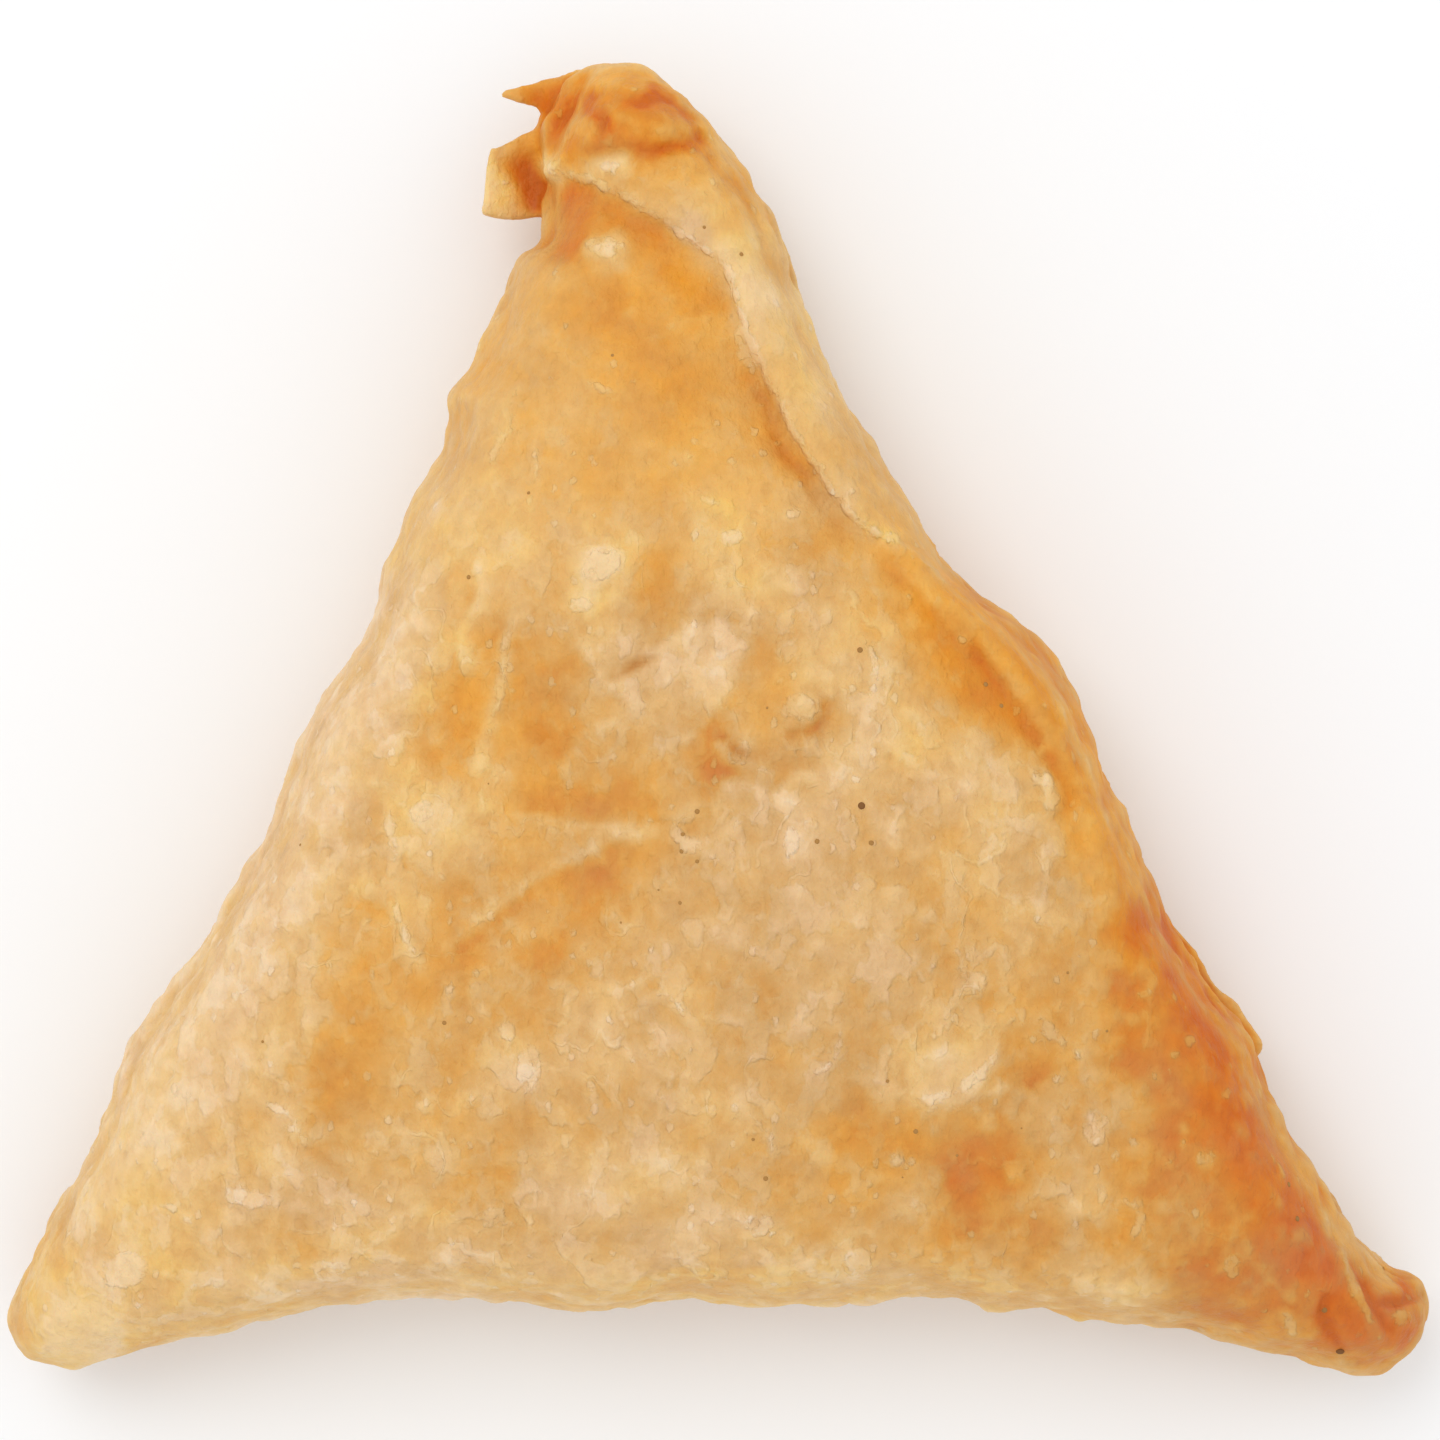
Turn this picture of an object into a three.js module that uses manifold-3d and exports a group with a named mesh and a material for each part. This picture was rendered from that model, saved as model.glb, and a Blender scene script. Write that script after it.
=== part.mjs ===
// A samosa: a sheet of dough folded corner over corner round its filling into a closed three-sided
// parcel, fried whole, and lying on one broad face. It is uncut, so it is one solid.
// Millimetres. X runs along the folded base, Y from the base towards the pinched tip, and Z is up.
// The finished solid is moved so that its origin is at the middle of its footprint, on the surface
// that it lies on.
import * as THREE from "three";
import { mergeVertices } from "three/addons/utils/BufferGeometryUtils.js";
import Module from "manifold-3d";

// ---- Driving dimensions ----

// The parcel's edge as it is seen from above, anticlockwise from the left of the tip. The two
// straight sides bow a little, the base is hollow, and the three corners are blunt lobes.
const LEFT_SIDE = [
  [-12.4, 33.7],
  [-14.3, 32.0],
  [-16.9, 25.0],
  [-19.1, 22.4],
  [-18.9, 20.1],
  [-22.1, 13.7],
  [-24.8, 5.6],
  [-28.2, 0.7],
  [-31.5, -7.7],
  [-37.7, -18.0],
  [-41.2, -22.8],
  [-43.8, -29.5],
  [-47.3, -35.5],
];
const LEFT_LOBE = [
  [-49.8, -40.6],
  [-49.4, -44.3],
  [-47.0, -45.5],
];
const BASE = [
  [-40.9, -44.4],
  [-35.8, -42.9],
  [-28.0, -41.1],
  [-19.4, -40.1],
  [-7.5, -41.4],
  [-3.2, -40.5],
  [3.8, -41.1],
  [14.5, -40.1],
  [24.9, -41.8],
  [32.8, -42.9],
  [38.5, -44.4],
];
const RIGHT_LOBE = [
  [42.5, -45.7],
  [46.4, -45.9],
  [49.3, -43.4],
  [49.8, -39.9],
  [46.3, -38.3],
];
const RIGHT_SIDE = [
  [42.5, -33.5],
  [38.3, -26.2],
  [36.6, -22.4],
  [32.0, -15.9],
  [28.6, -8.3],
  [26.6, -3.6],
  [24.5, 2.4],
  [20.2, 6.9],
  [15.4, 11.2],
  [12.4, 15.9],
  [6.7, 26.1],
  [3.8, 34.7],
  [0.5, 40.1],
];
const TIP = [
  [-3.5, 44.3],
  [-8.4, 45.9],
  [-11.6, 44.9],
  [-12.9, 42.0],
  [-13.0, 38.0],
];
const OUTLINE = [...LEFT_SIDE, ...LEFT_LOBE, ...BASE, ...RIGHT_LOBE, ...RIGHT_SIDE, ...TIP];
const MIDDLE = [0, -11.9]; // a point that sees the whole edge

// The filled body. Its edge sags towards the corners, and the filling swells both faces.
const EDGE_HEIGHT = 9.4; // of the edge over the resting surface, at the middle
const EDGE_SAG = 3.5; // how much lower the edge is at SAG_REACH from the middle
const SAG_REACH = 65;
const EDGE_HALF_THICKNESS = 1.6; // half the folded layers' thickness at a corner
const EDGE_ROUNDING = 4; // width over which the edge rounds over
const TOP_SWELL = 12.5; // height of the filling's swell over the edge layers
const UNDER_SWELL = 8.8; // the same below, which the resting surface flattens
const SIDE_OFFSET = 2; // the swell dies out this far outside the two straight sides
const BASE_LINE = -41.8; // and along this line under the base, which drops by BASE_DROP
const BASE_DROP = 5.5; // at BASE_REACH to each side
const BASE_REACH = 48;
const FULL_SWELL_DISTANCE = 30; // distance from all three edges at which the swell is full
const SWELL_POWER = 0.5;
const CROWN_FLATNESS = 1.2; // the larger, the flatter the face and the steeper its sides

// Where the filling presses out or the skin sinks between its lumps: [x, y, radius, height].
const LUMPS_AND_DENTS = [
  [-19.6, 0.0, 5.0, -0.9],
  [-11.5, -4.9, 6.0, -1.0],
  [-16.8, -11.9, 4.5, -0.8],
  [-8.4, -11.2, 5.0, -0.6],
  [22.4, -25.2, 5.5, -0.9],
  [1.4, 22.4, 5.0, -1.1],
  [-4.9, 29.4, 4.5, -0.5],
  [-8.4, 10.3, 6.0, 0.9],
  [5.4, 0.7, 6.5, 0.9],
  [4.0, -13.5, 7.0, 0.7],
  [18.5, -6.5, 6.0, 0.8],
  [-26.0, -20.0, 6.0, 0.6],
  [-2.0, -27.0, 7.0, 0.6],
  [14.0, -33.0, 6.0, -0.6],
  [33.5, -33.5, 5.0, 0.6],
];

// Layers of pastry that lie on the parcel or stand out at its edge.
const PASTRY_THICKNESS = 1.2;
const SINK = 0.6; // how far a layer runs into the body below it
const FOLD_EDGE = [
  [-12.2, 37.6],
  [-9.1, 36.5],
  [-5.3, 34.4],
  [-1.9, 32.0],
  [-0.3, 30.9],
  [1.2, 26.9],
  [3.9, 20.5],
  [7.2, 15.1],
  [10.1, 12.2],
  [14.6, 11.3],
]; // the free edge of the flap that is folded over from the right
const FLAP_OUTER_EDGE = [
  [-12.5, 41.8],
  [-10.6, 44.3],
  [-7.6, 45.0],
  [-3.9, 43.5],
  [-0.1, 39.8],
  [3.3, 34.3],
  [6.2, 26.0],
  [11.8, 15.9],
  [14.9, 11.7],
];
const VALLEY_DEPTH = 0.9; // of the skin under the flap's free edge
const VALLEY_WIDTH = 2.2;
const ROLL_CREASE = [
  [10.1, 12.2],
  [13.8, 7.5],
  [17.7, 3.8],
  [20.0, 0.5],
  [22.8, -3.6],
  [24.4, -8.7],
  [25.2, -13.6],
]; // the inner side of the rolled right edge
const ROLL_OUTER_EDGE = [
  [15.1, 11.0],
  [19.9, 6.7],
  [24.1, 2.3],
  [26.2, -3.6],
  [28.2, -8.3],
  [30.6, -13.4],
];
const ROLL_CROWN = 1.7;
const ROLL_LIFT = 0.2; // of the roll's two long edges over the skin
const CAP_EDGE = [
  [-12.3, 37.4],
  [-9.6, 38.2],
  [-5.6, 38.3],
  [-2.7, 39.5],
  [0.0, 40.3],
]; // the lower edge of the crumpled cap at the tip
const CAP_TOP = [
  [-12.6, 41.9],
  [-10.9, 44.5],
  [-8.2, 45.5],
  [-4.0, 44.0],
  [-0.7, 41.2],
];
const CAP_THICKNESS = 1.0;
const CAP_FOLDS = 3;
const CAP_FOLD_HEIGHT = 0.35;
const HORN_UPPER = [
  [-8.6, 45.4],
  [-11.3, 45.1],
  [-14.0, 44.5],
  [-15.7, 44.0],
]; // the pointed flake that stands out at the left of the tip
const HORN_LOWER = [
  [-8.9, 42.6],
  [-12.7, 42.6],
  [-14.3, 43.3],
  [-15.5, 43.7],
];
const TAB_UPPER = [
  [-10.6, 40.9],
  [-13.9, 40.6],
  [-14.8, 39.9],
  [-16.0, 39.3],
]; // the square end of the dough strip, just below the flake
const TAB_LOWER = [
  [-10.8, 35.6],
  [-12.9, 35.6],
  [-14.5, 35.2],
  [-16.6, 35.5],
];
const LEDGE_INNER = [
  [29.8, -14.2],
  [33.0, -19.2],
  [36.6, -24.3],
]; // the under layer that shows along the lower right side
const LEDGE_OUTER = [
  [31.2, -13.6],
  [34.4, -18.0],
  [38.2, -23.2],
];
const FLAKE_LEVEL = 6.1; // height of the under face of the flake, tab and ledge
const HORN_CURL = 0.6; // how much higher the flake's tip stands than its root
const HORN_TIP_SHARE = 0.7; // thickness left at the tip
const TAB_CURL = 1.4; // how much higher the tab's end stands than its root
const TAB_ROOT_EXTRA = 0.5; // how much thicker the tab is where it leaves the tip
const UNDER_FLAP_EDGE = [
  [-23.6, -0.8],
  [-12.0, -4.6],
  [4.0, -10.8],
  [18.0, -18.2],
  [31.2, -24.4],
]; // the free edge of the flap that closes the under face
const UNDER_FLAP_TOP = [
  [-12.6, 25.4],
  [-8.6, 36.0],
  [-4.4, 37.2],
  [0.6, 28.2],
  [7.4, 14.8],
  [18.6, 2.2],
  [26.4, -13.6],
  [32.8, -23.0],
];
const UNDER_FLAP_THICKNESS = 0.8;

// Creases of the fried skin that stand up as fine ridges: the width and height of each, then its run.
const WRINKLES = [
  { width: 1.2, height: 0.4, run: [[-14.4, 23.1], [-15.3, 19.8], [-15.6, 17.6], [-14.6, 15.8]] },
  { width: 1.3, height: 0.45, run: [[-14.7, 9.0], [-15.1, 5.7], [-15.3, 2.8], [-15.4, -0.4]] },
  { width: 1.4, height: 0.5, run: [[-23.3, -4.7], [-22.4, -11.6], [-20.7, -16.6], [-19.4, -17.7]] },
  { width: 1.5, height: 0.5, run: [[-18.7, -17.3], [-14.6, -13.7], [-11.5, -10.5], [-3.5, -8.1]] },
  { width: 1.3, height: 0.45, run: [[-16.6, -6.5], [-12.9, -7.2], [-10.0, -8.1], [-3.2, -7.0]] },
  { width: 1.3, height: 0.4, run: [[-10.7, 5.4], [-7.9, 2.8], [-4.3, 4.3], [0.0, 5.0]] },
  { width: 1.3, height: 0.4, run: [[20.5, -20.9], [23.1, -21.7], [25.9, -26.7], [26.3, -29.6]] },
  { width: 1.3, height: 0.4, run: [[17.3, -14.8], [17.0, -18.7], [15.5, -21.7], [14.8, -24.5]] },
  { width: 1.3, height: 0.4, run: [[25.9, -31.0], [28.8, -33.8], [28.7, -38.2]] },
  { width: 1.4, height: 0.4, run: [[-1.5, -4.6], [-3.4, -7.2], [-1.2, -9.6]] },
  { width: 1.6, height: 0.8, run: [[43.6, -37.0], [44.9, -40.6], [46.3, -44.4]] },
  { width: 1.3, height: 0.5, run: [[45.6, -41.6], [47.6, -41.8], [48.9, -41.4]] },
];

// Blisters: the large ones stand in known places, and a rule spreads the small ones over the face.
const LARGE_BLISTERS = [
  [-8.4, 10.3, 2.1],
  [5.4, 0.7, 1.6],
  [22.4, -5.4, 1.7],
  [-21.6, -6.5, 1.6],
  [-8.2, 33.2, 1.3],
  [-15.0, -21.7, 1.7],
  [17.5, -18.6, 1.8],
];
const BLISTER_HEIGHT = 0.25; // share of its radius that a blister stands up
const BLISTER_STRETCH = 1.35; // its length over its breadth
const SMALL_BLISTERS = 20;
const SMALL_BLISTER_SPACING = 7.2;
const SMALL_BLISTER_RADIUS = 1.5;
const SMALL_BLISTER_SPREAD = 0.3; // the radius varies by this share either way
const GOLDEN_ANGLE = Math.PI * (3 - Math.sqrt(5));
const BLISTER_MARGIN = 3.5; // nearest that a small blister comes to the edge or the flap
const BLISTERS_END = 25; // how far up towards the tip they reach

// How finely the solid is faceted.
const AROUND = 96;
const TOP_RINGS = 15;
const UNDER_RINGS = 8;
const CURVE_STEPS = 1000; // stretches that a curve's length is measured in
const EDGE_STEPS = 520; // points of the outline that the distance to the edge is measured to
const FOLD_STEPS = 80; // the same for the flap's free edge

// ---- Curves in plan ----

const wasm = await Module();
wasm.setup();

const { clamp, lerp } = THREE.MathUtils;

function smoothCurve(points, closed = false) {
  const corners = points.map(([x, y]) => new THREE.Vector3(x, y, 0));
  const curve = new THREE.CatmullRomCurve3(corners, closed, "centripetal");
  curve.arcLengthDivisions = CURVE_STEPS;
  return curve;
}

const edge = smoothCurve(OUTLINE, true);
const rimPoints = edge.getSpacedPoints(AROUND);
const edgePoints = edge.getSpacedPoints(EDGE_STEPS);
const foldPoints = smoothCurve(FOLD_EDGE).getSpacedPoints(FOLD_STEPS);

function distanceTo(points, x, y) {
  return Math.min(...points.map((p) => Math.hypot(p.x - x, p.y - y)));
}

// The distance of a point inside the straight side that runs from `start` to `end`.
function insideSide([startX, startY], [endX, endY], x, y) {
  const length = Math.hypot(endX - startX, endY - startY);
  const across = (endX - startX) * (y - startY) - (endY - startY) * (x - startX);
  return Math.max(0, across / length + SIDE_OFFSET);
}

// ---- The two faces of the filled body ----

function edgeHeight(x, y) {
  const reach = Math.hypot(x - MIDDLE[0], y - MIDDLE[1]) / SAG_REACH;
  return EDGE_HEIGHT - EDGE_SAG * reach ** 2;
}

// From 0 at the edge to 1 inside it, along a quarter of a circle.
function rounding(x, y) {
  const inward = clamp(distanceTo(edgePoints, x, y) / EDGE_ROUNDING, 0, 1);
  return Math.sqrt(1 - (1 - inward) ** 2);
}

// How much of its full swell the filling has here: nothing at the three edges, and it rises
// steeply from them and levels off to 1 at the middle.
function swell(x, y) {
  const left = insideSide(LEFT_SIDE[0], LEFT_SIDE.at(-1), x, y);
  const right = insideSide(RIGHT_LOBE.at(-1), RIGHT_SIDE.at(-1), x, y);
  const base = Math.max(0, y - BASE_LINE + BASE_DROP * (x / BASE_REACH) ** 2);
  const share = ((left * right * base) / FULL_SWELL_DISTANCE ** 3) ** SWELL_POWER;
  return Math.tanh(CROWN_FLATNESS * share) / Math.tanh(CROWN_FLATNESS);
}

function lumps(x, y) {
  const named = LUMPS_AND_DENTS.map(
    ([cx, cy, radius, height]) => height * Math.exp(-(((x - cx) ** 2 + (y - cy) ** 2) / radius ** 2)),
  );
  const valley = -VALLEY_DEPTH * Math.exp(-((distanceTo(foldPoints, x, y) / VALLEY_WIDTH) ** 2));
  return named.reduce((sum, height) => sum + height, valley);
}

function topHeight(x, y) {
  const body = EDGE_HALF_THICKNESS + TOP_SWELL * swell(x, y) + lumps(x, y);
  return edgeHeight(x, y) + rounding(x, y) * body;
}

function underHeight(x, y) {
  const body = EDGE_HALF_THICKNESS + UNDER_SWELL * swell(x, y);
  return Math.max(0, edgeHeight(x, y) - rounding(x, y) * body);
}

// ---- Making the pieces of the solid ----

function solidOf(geometry) {
  geometry.deleteAttribute("normal");
  geometry.deleteAttribute("uv");
  const merged = mergeVertices(geometry, 1e-4);
  const mesh = new wasm.Mesh({
    numProp: 3,
    vertProperties: merged.attributes.position.array,
    triVerts: new Uint32Array(merged.index.array),
  });
  return new wasm.Manifold(mesh);
}

// Moves each vertex of a geometry to the place that `placeOf` gives for it.
function reshape(geometry, placeOf) {
  const position = geometry.attributes.position;
  for (let i = 0; i < position.count; i += 1) {
    position.setXYZ(i, ...placeOf(i, position));
  }
  return geometry;
}

// The body is a sphere whose rings run from the middle of the top face out to the edge, and from
// there back to the middle of the under face.
function filledBody() {
  const rings = TOP_RINGS + UNDER_RINGS;
  const sphere = new THREE.SphereGeometry(1, AROUND, rings);
  const turnAndRing = sphere.attributes.uv;
  const placeOf = (i) => {
    const ring = (1 - turnAndRing.getY(i)) * rings;
    const isTop = ring < TOP_RINGS;
    const inward = isTop ? ring / TOP_RINGS : (rings - ring) / UNDER_RINGS;
    const reach = Math.sin((inward * Math.PI) / 2);
    const rim = rimPoints[(Math.round(turnAndRing.getX(i) * AROUND) + AROUND) % AROUND];
    const x = lerp(MIDDLE[0], rim.x, reach);
    const y = lerp(MIDDLE[1], rim.y, reach);
    return [x, y, isTop ? topHeight(x, y) : underHeight(x, y)];
  };
  return solidOf(reshape(sphere, placeOf));
}

// A layer of pastry between two edges. `upper` and `lower` give the heights of its two faces at a
// place, from the share of its length, the share of its breadth, and x and y.
function layer({ from, to, along, across, upper, lower }) {
  const box = new THREE.BoxGeometry(1, 1, 1, along, across, 1);
  const near = smoothCurve(from);
  const far = smoothCurve(to);
  const placeOf = (i, position) => {
    const u = position.getX(i) + 0.5;
    const v = position.getY(i) + 0.5;
    const x = lerp(near.getPointAt(u).x, far.getPointAt(u).x, v);
    const y = lerp(near.getPointAt(u).y, far.getPointAt(u).y, v);
    const height = position.getZ(i) > 0 ? upper : lower;
    return [x, y, height(u, v, x, y)];
  };
  return solidOf(reshape(box, placeOf));
}

const sunk = (u, v, x, y) => topHeight(x, y) - SINK;

// Thin at the free edge, then full: 0.5 at v = 0, rising to 1 over the first fifth of the breadth.
const freeEdge = (v) => 0.5 + 0.5 * Math.min(1, v / 0.2);

function foldedFlap() {
  return layer({
    from: FOLD_EDGE,
    to: FLAP_OUTER_EDGE,
    along: 26,
    across: 5,
    upper: (u, v, x, y) => topHeight(x, y) + PASTRY_THICKNESS * freeEdge(v),
    lower: sunk,
  });
}

function rolledEdge() {
  const crown = (u, v) => ROLL_CROWN * (1 - u ** 3) * Math.sin(Math.PI * v);
  return layer({
    from: ROLL_CREASE,
    to: ROLL_OUTER_EDGE,
    along: 16,
    across: 4,
    upper: (u, v, x, y) => topHeight(x, y) + ROLL_LIFT + crown(u, v),
    lower: sunk,
  });
}

function tipCap() {
  const folds = (v) => CAP_FOLD_HEIGHT * Math.sin(CAP_FOLDS * Math.PI * v) ** 2;
  const thickness = PASTRY_THICKNESS + CAP_THICKNESS;
  return layer({
    from: CAP_EDGE,
    to: CAP_TOP,
    along: 10,
    across: 9,
    upper: (u, v, x, y) => topHeight(x, y) + thickness * freeEdge(v) + folds(v + 0.2 * u),
    lower: sunk,
  });
}

function hornFlake() {
  const curl = (u) => HORN_CURL * u ** 2;
  return layer({
    from: HORN_UPPER,
    to: HORN_LOWER,
    along: 8,
    across: 2,
    upper: (u) => FLAKE_LEVEL + PASTRY_THICKNESS * lerp(1, HORN_TIP_SHARE, u) + curl(u),
    lower: (u) => FLAKE_LEVEL + curl(u),
  });
}

function squareTab() {
  const curl = (u) => TAB_CURL * u ** 2;
  return layer({
    from: TAB_UPPER,
    to: TAB_LOWER,
    along: 6,
    across: 3,
    upper: (u) => FLAKE_LEVEL + PASTRY_THICKNESS + TAB_ROOT_EXTRA * (1 - u) + curl(u),
    lower: (u) => FLAKE_LEVEL + curl(u),
  });
}

function ledge() {
  return layer({
    from: LEDGE_INNER,
    to: LEDGE_OUTER,
    along: 8,
    across: 1,
    upper: () => FLAKE_LEVEL + PASTRY_THICKNESS,
    lower: () => FLAKE_LEVEL,
  });
}

function underFlap() {
  return layer({
    from: UNDER_FLAP_EDGE,
    to: UNDER_FLAP_TOP,
    along: 20,
    across: 4,
    upper: (u, v, x, y) => underHeight(x, y) + SINK,
    lower: (u, v, x, y) => Math.max(0, underHeight(x, y) - UNDER_FLAP_THICKNESS * freeEdge(v)),
  });
}

// A ridge has a crest along its run and sides that slope down to the skin, and it fades at both ends.
function wrinkle({ width, height, run }) {
  const box = new THREE.BoxGeometry(1, 1, 1, 3 * (run.length - 1), 2, 1);
  const curve = smoothCurve(run);
  const placeOf = (i, position) => {
    const u = position.getX(i) + 0.5;
    const side = position.getY(i);
    const middle = curve.getPointAt(u);
    const direction = curve.getTangentAt(u);
    const x = middle.x - direction.y * side * width;
    const y = middle.y + direction.x * side * width;
    const crest = height * (1 - 2 * Math.abs(side)) * Math.sin(Math.PI * clamp(u, 0.1, 0.9));
    const isTop = position.getZ(i) > 0;
    return [x, y, topHeight(x, y) + (isTop ? 0.05 + crest : -SINK)];
  };
  return solidOf(reshape(box, placeOf));
}

function blister([x, y, radius]) {
  const dome = new THREE.IcosahedronGeometry(radius, 1);
  dome.scale(BLISTER_STRETCH, 1, 2 * BLISTER_HEIGHT);
  dome.rotateZ(GOLDEN_ANGLE * (x + y));
  dome.translate(x, y, topHeight(x, y) - BLISTER_HEIGHT * radius);
  return solidOf(dome);
}

// Small blisters lie along a sunflower's spiral, which spreads them evenly, and their sizes vary.
function smallBlisters() {
  const places = [];
  for (let i = 1; places.length < SMALL_BLISTERS; i += 1) {
    const reach = SMALL_BLISTER_SPACING * Math.sqrt(i);
    const x = MIDDLE[0] + reach * Math.cos(i * GOLDEN_ANGLE);
    const y = MIDDLE[1] + reach * Math.sin(i * GOLDEN_ANGLE);
    const radius = SMALL_BLISTER_RADIUS * (1 + SMALL_BLISTER_SPREAD * Math.sin(i * GOLDEN_ANGLE));
    const isInside = swell(x, y) > 0 && distanceTo(edgePoints, x, y) > BLISTER_MARGIN;
    if (isInside && distanceTo(foldPoints, x, y) > BLISTER_MARGIN && y < BLISTERS_END) {
      places.push([x, y, radius]);
    }
  }
  return places;
}

// ---- The samosa ----

const pieces = [
  foldedFlap(),
  rolledEdge(),
  tipCap(),
  hornFlake(),
  squareTab(),
  ledge(),
  underFlap(),
  ...WRINKLES.map(wrinkle),
  ...[...LARGE_BLISTERS, ...smallBlisters()].map(blister),
];
const fused = pieces.reduce((sum, piece) => sum.add(piece), filledBody());

// A gap that a layer seals against the body is filled: only the outer shell is kept.
const shells = fused.decompose();
const whole = shells.reduce((largest, shell) => (shell.volume() > largest.volume() ? shell : largest));

function geometryOf(solid) {
  const { vertProperties, triVerts } = solid.getMesh();
  const geometry = new THREE.BufferGeometry();
  geometry.setAttribute("position", new THREE.BufferAttribute(vertProperties, 3));
  geometry.setIndex(new THREE.BufferAttribute(triVerts, 1));
  geometry.computeVertexNormals();
  return geometry;
}

const geometry = geometryOf(whole);
geometry.computeBoundingBox();
const { min, max } = geometry.boundingBox;
geometry.translate(-(min.x + max.x) / 2, -(min.y + max.y) / 2, -min.z);

const friedPastry = new THREE.MeshStandardMaterial({
  color: 0xdeac6c,
  roughness: 0.55,
  metalness: 0,
});
const samosa = new THREE.Mesh(geometry, friedPastry);
samosa.name = "samosa";

const part = new THREE.Group();
part.add(samosa);

export default part;
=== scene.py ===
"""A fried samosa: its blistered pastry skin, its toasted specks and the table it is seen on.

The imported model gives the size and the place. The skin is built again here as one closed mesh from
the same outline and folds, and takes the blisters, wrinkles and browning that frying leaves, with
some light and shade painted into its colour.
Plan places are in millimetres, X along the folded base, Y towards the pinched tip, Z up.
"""

import math
import random

import bmesh
import bpy
import numpy as np
from bpy.props import FloatProperty, FloatVectorProperty, IntProperty, PointerProperty
from mathutils import Matrix, Vector, noise


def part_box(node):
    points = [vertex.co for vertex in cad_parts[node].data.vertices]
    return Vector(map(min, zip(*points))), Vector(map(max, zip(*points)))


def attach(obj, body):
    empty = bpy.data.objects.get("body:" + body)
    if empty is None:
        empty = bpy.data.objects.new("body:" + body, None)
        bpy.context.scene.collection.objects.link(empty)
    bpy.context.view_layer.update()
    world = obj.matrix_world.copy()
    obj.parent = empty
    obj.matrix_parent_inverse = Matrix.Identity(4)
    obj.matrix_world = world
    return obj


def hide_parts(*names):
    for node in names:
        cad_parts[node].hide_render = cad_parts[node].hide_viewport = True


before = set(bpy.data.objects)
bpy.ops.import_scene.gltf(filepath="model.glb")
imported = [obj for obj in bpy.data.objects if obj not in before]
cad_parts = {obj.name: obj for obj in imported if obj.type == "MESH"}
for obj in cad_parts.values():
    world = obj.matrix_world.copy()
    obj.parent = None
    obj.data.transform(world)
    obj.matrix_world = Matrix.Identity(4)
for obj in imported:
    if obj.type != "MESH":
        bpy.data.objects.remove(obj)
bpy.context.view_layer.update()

bl_info = {
    "name": "Fried Samosa",
    "version": (1, 0, 0),
    "blender": (4, 5, 0),
    "location": "3D View > Sidebar > Samosa",
    "description": "Builds a folded, fried samosa and the table it lies on",
    "category": "Add Mesh",
}

NODE = "samosa"
BODY = "root"
MM = 0.001

# ---- The parcel's outline and folds ----

# The edge as it is seen from above, anticlockwise from the left of the tip.
LEFT_SIDE = [
    (-12.4, 33.7), (-14.3, 32), (-16.9, 25), (-19.1, 22.4), (-18.9, 20.1), (-22.1, 13.7), (-24.8, 5.6),
    (-28.2, 0.7), (-31.5, -7.7), (-37.7, -18), (-41.2, -22.8), (-43.8, -29.5), (-47.3, -35.5),
]
LEFT_LOBE = [(-49.8, -40.6), (-49.4, -44.3), (-47.0, -45.5)]
BASE = [
    (-40.9, -44.4), (-35.8, -42.9), (-28, -41.1), (-19.4, -40.1), (-7.5, -41.4), (-3.2, -40.5),
    (3.8, -41.1), (14.5, -40.1), (24.9, -41.8), (32.8, -42.9), (38.5, -44.4),
]
RIGHT_LOBE = [(42.5, -45.7), (46.4, -45.9), (49.3, -43.4), (49.8, -39.9), (46.3, -38.3)]
RIGHT_SIDE = [
    (42.5, -33.5), (38.3, -26.2), (36.6, -22.4), (32, -15.9), (28.6, -8.3), (26.6, -3.6), (24.5, 2.4),
    (20.2, 6.9), (15.4, 11.2), (12.4, 15.9), (6.7, 26.1), (3.8, 34.7), (0.5, 40.1),
]
TIP = [(-3.5, 44.3), (-8.4, 45.9), (-11.6, 44.9), (-12.9, 42.0), (-13.0, 38.0)]
OUTLINE = LEFT_SIDE + LEFT_LOBE + BASE + RIGHT_LOBE + RIGHT_SIDE + TIP
MIDDLE = np.array([0.0, -11.9])

EDGE_SAG = 3.5  # how much lower the edge is at SAG_REACH from the middle
SAG_REACH = 65.0
EDGE_HALF_THICKNESS = 1.6
EDGE_ROUNDING = 4.0  # how far in the rounding of the edge ends
SIDE_OFFSET = 2.0  # how far outside a straight side the filling's swell begins
BASE_LINE = -41.8  # where it begins at the middle of the base
BASE_DROP = 5.5  # how much further out it begins at BASE_REACH to either side
BASE_REACH = 48.0
FULL_SWELL_DISTANCE = 30.0
SWELL_POWER = 0.5
CROWN_FLATNESS = 1.2

# Where the filling presses out or the skin sinks between its lumps: x, y, radius, height.
LUMPS_AND_DENTS = [
    (-19.6, 0, 5, -0.9), (-11.5, -4.9, 6, -1), (-16.8, -11.9, 4.5, -0.8), (-8.4, -11.2, 5, -0.6),
    (22.4, -25.2, 5.5, -0.9), (1.4, 22.4, 5, -1.1), (-4.9, 29.4, 4.5, -0.5), (-8.4, 10.3, 6, 0.9),
    (5.4, 0.7, 6.5, 0.9), (4, -13.5, 7, 0.7), (18.5, -6.5, 6, 0.8), (-26, -20, 6, 0.6), (-2, -27, 7, 0.6),
    (14, -33, 6, -0.6), (33.5, -33.5, 5, 0.6),
]

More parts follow.
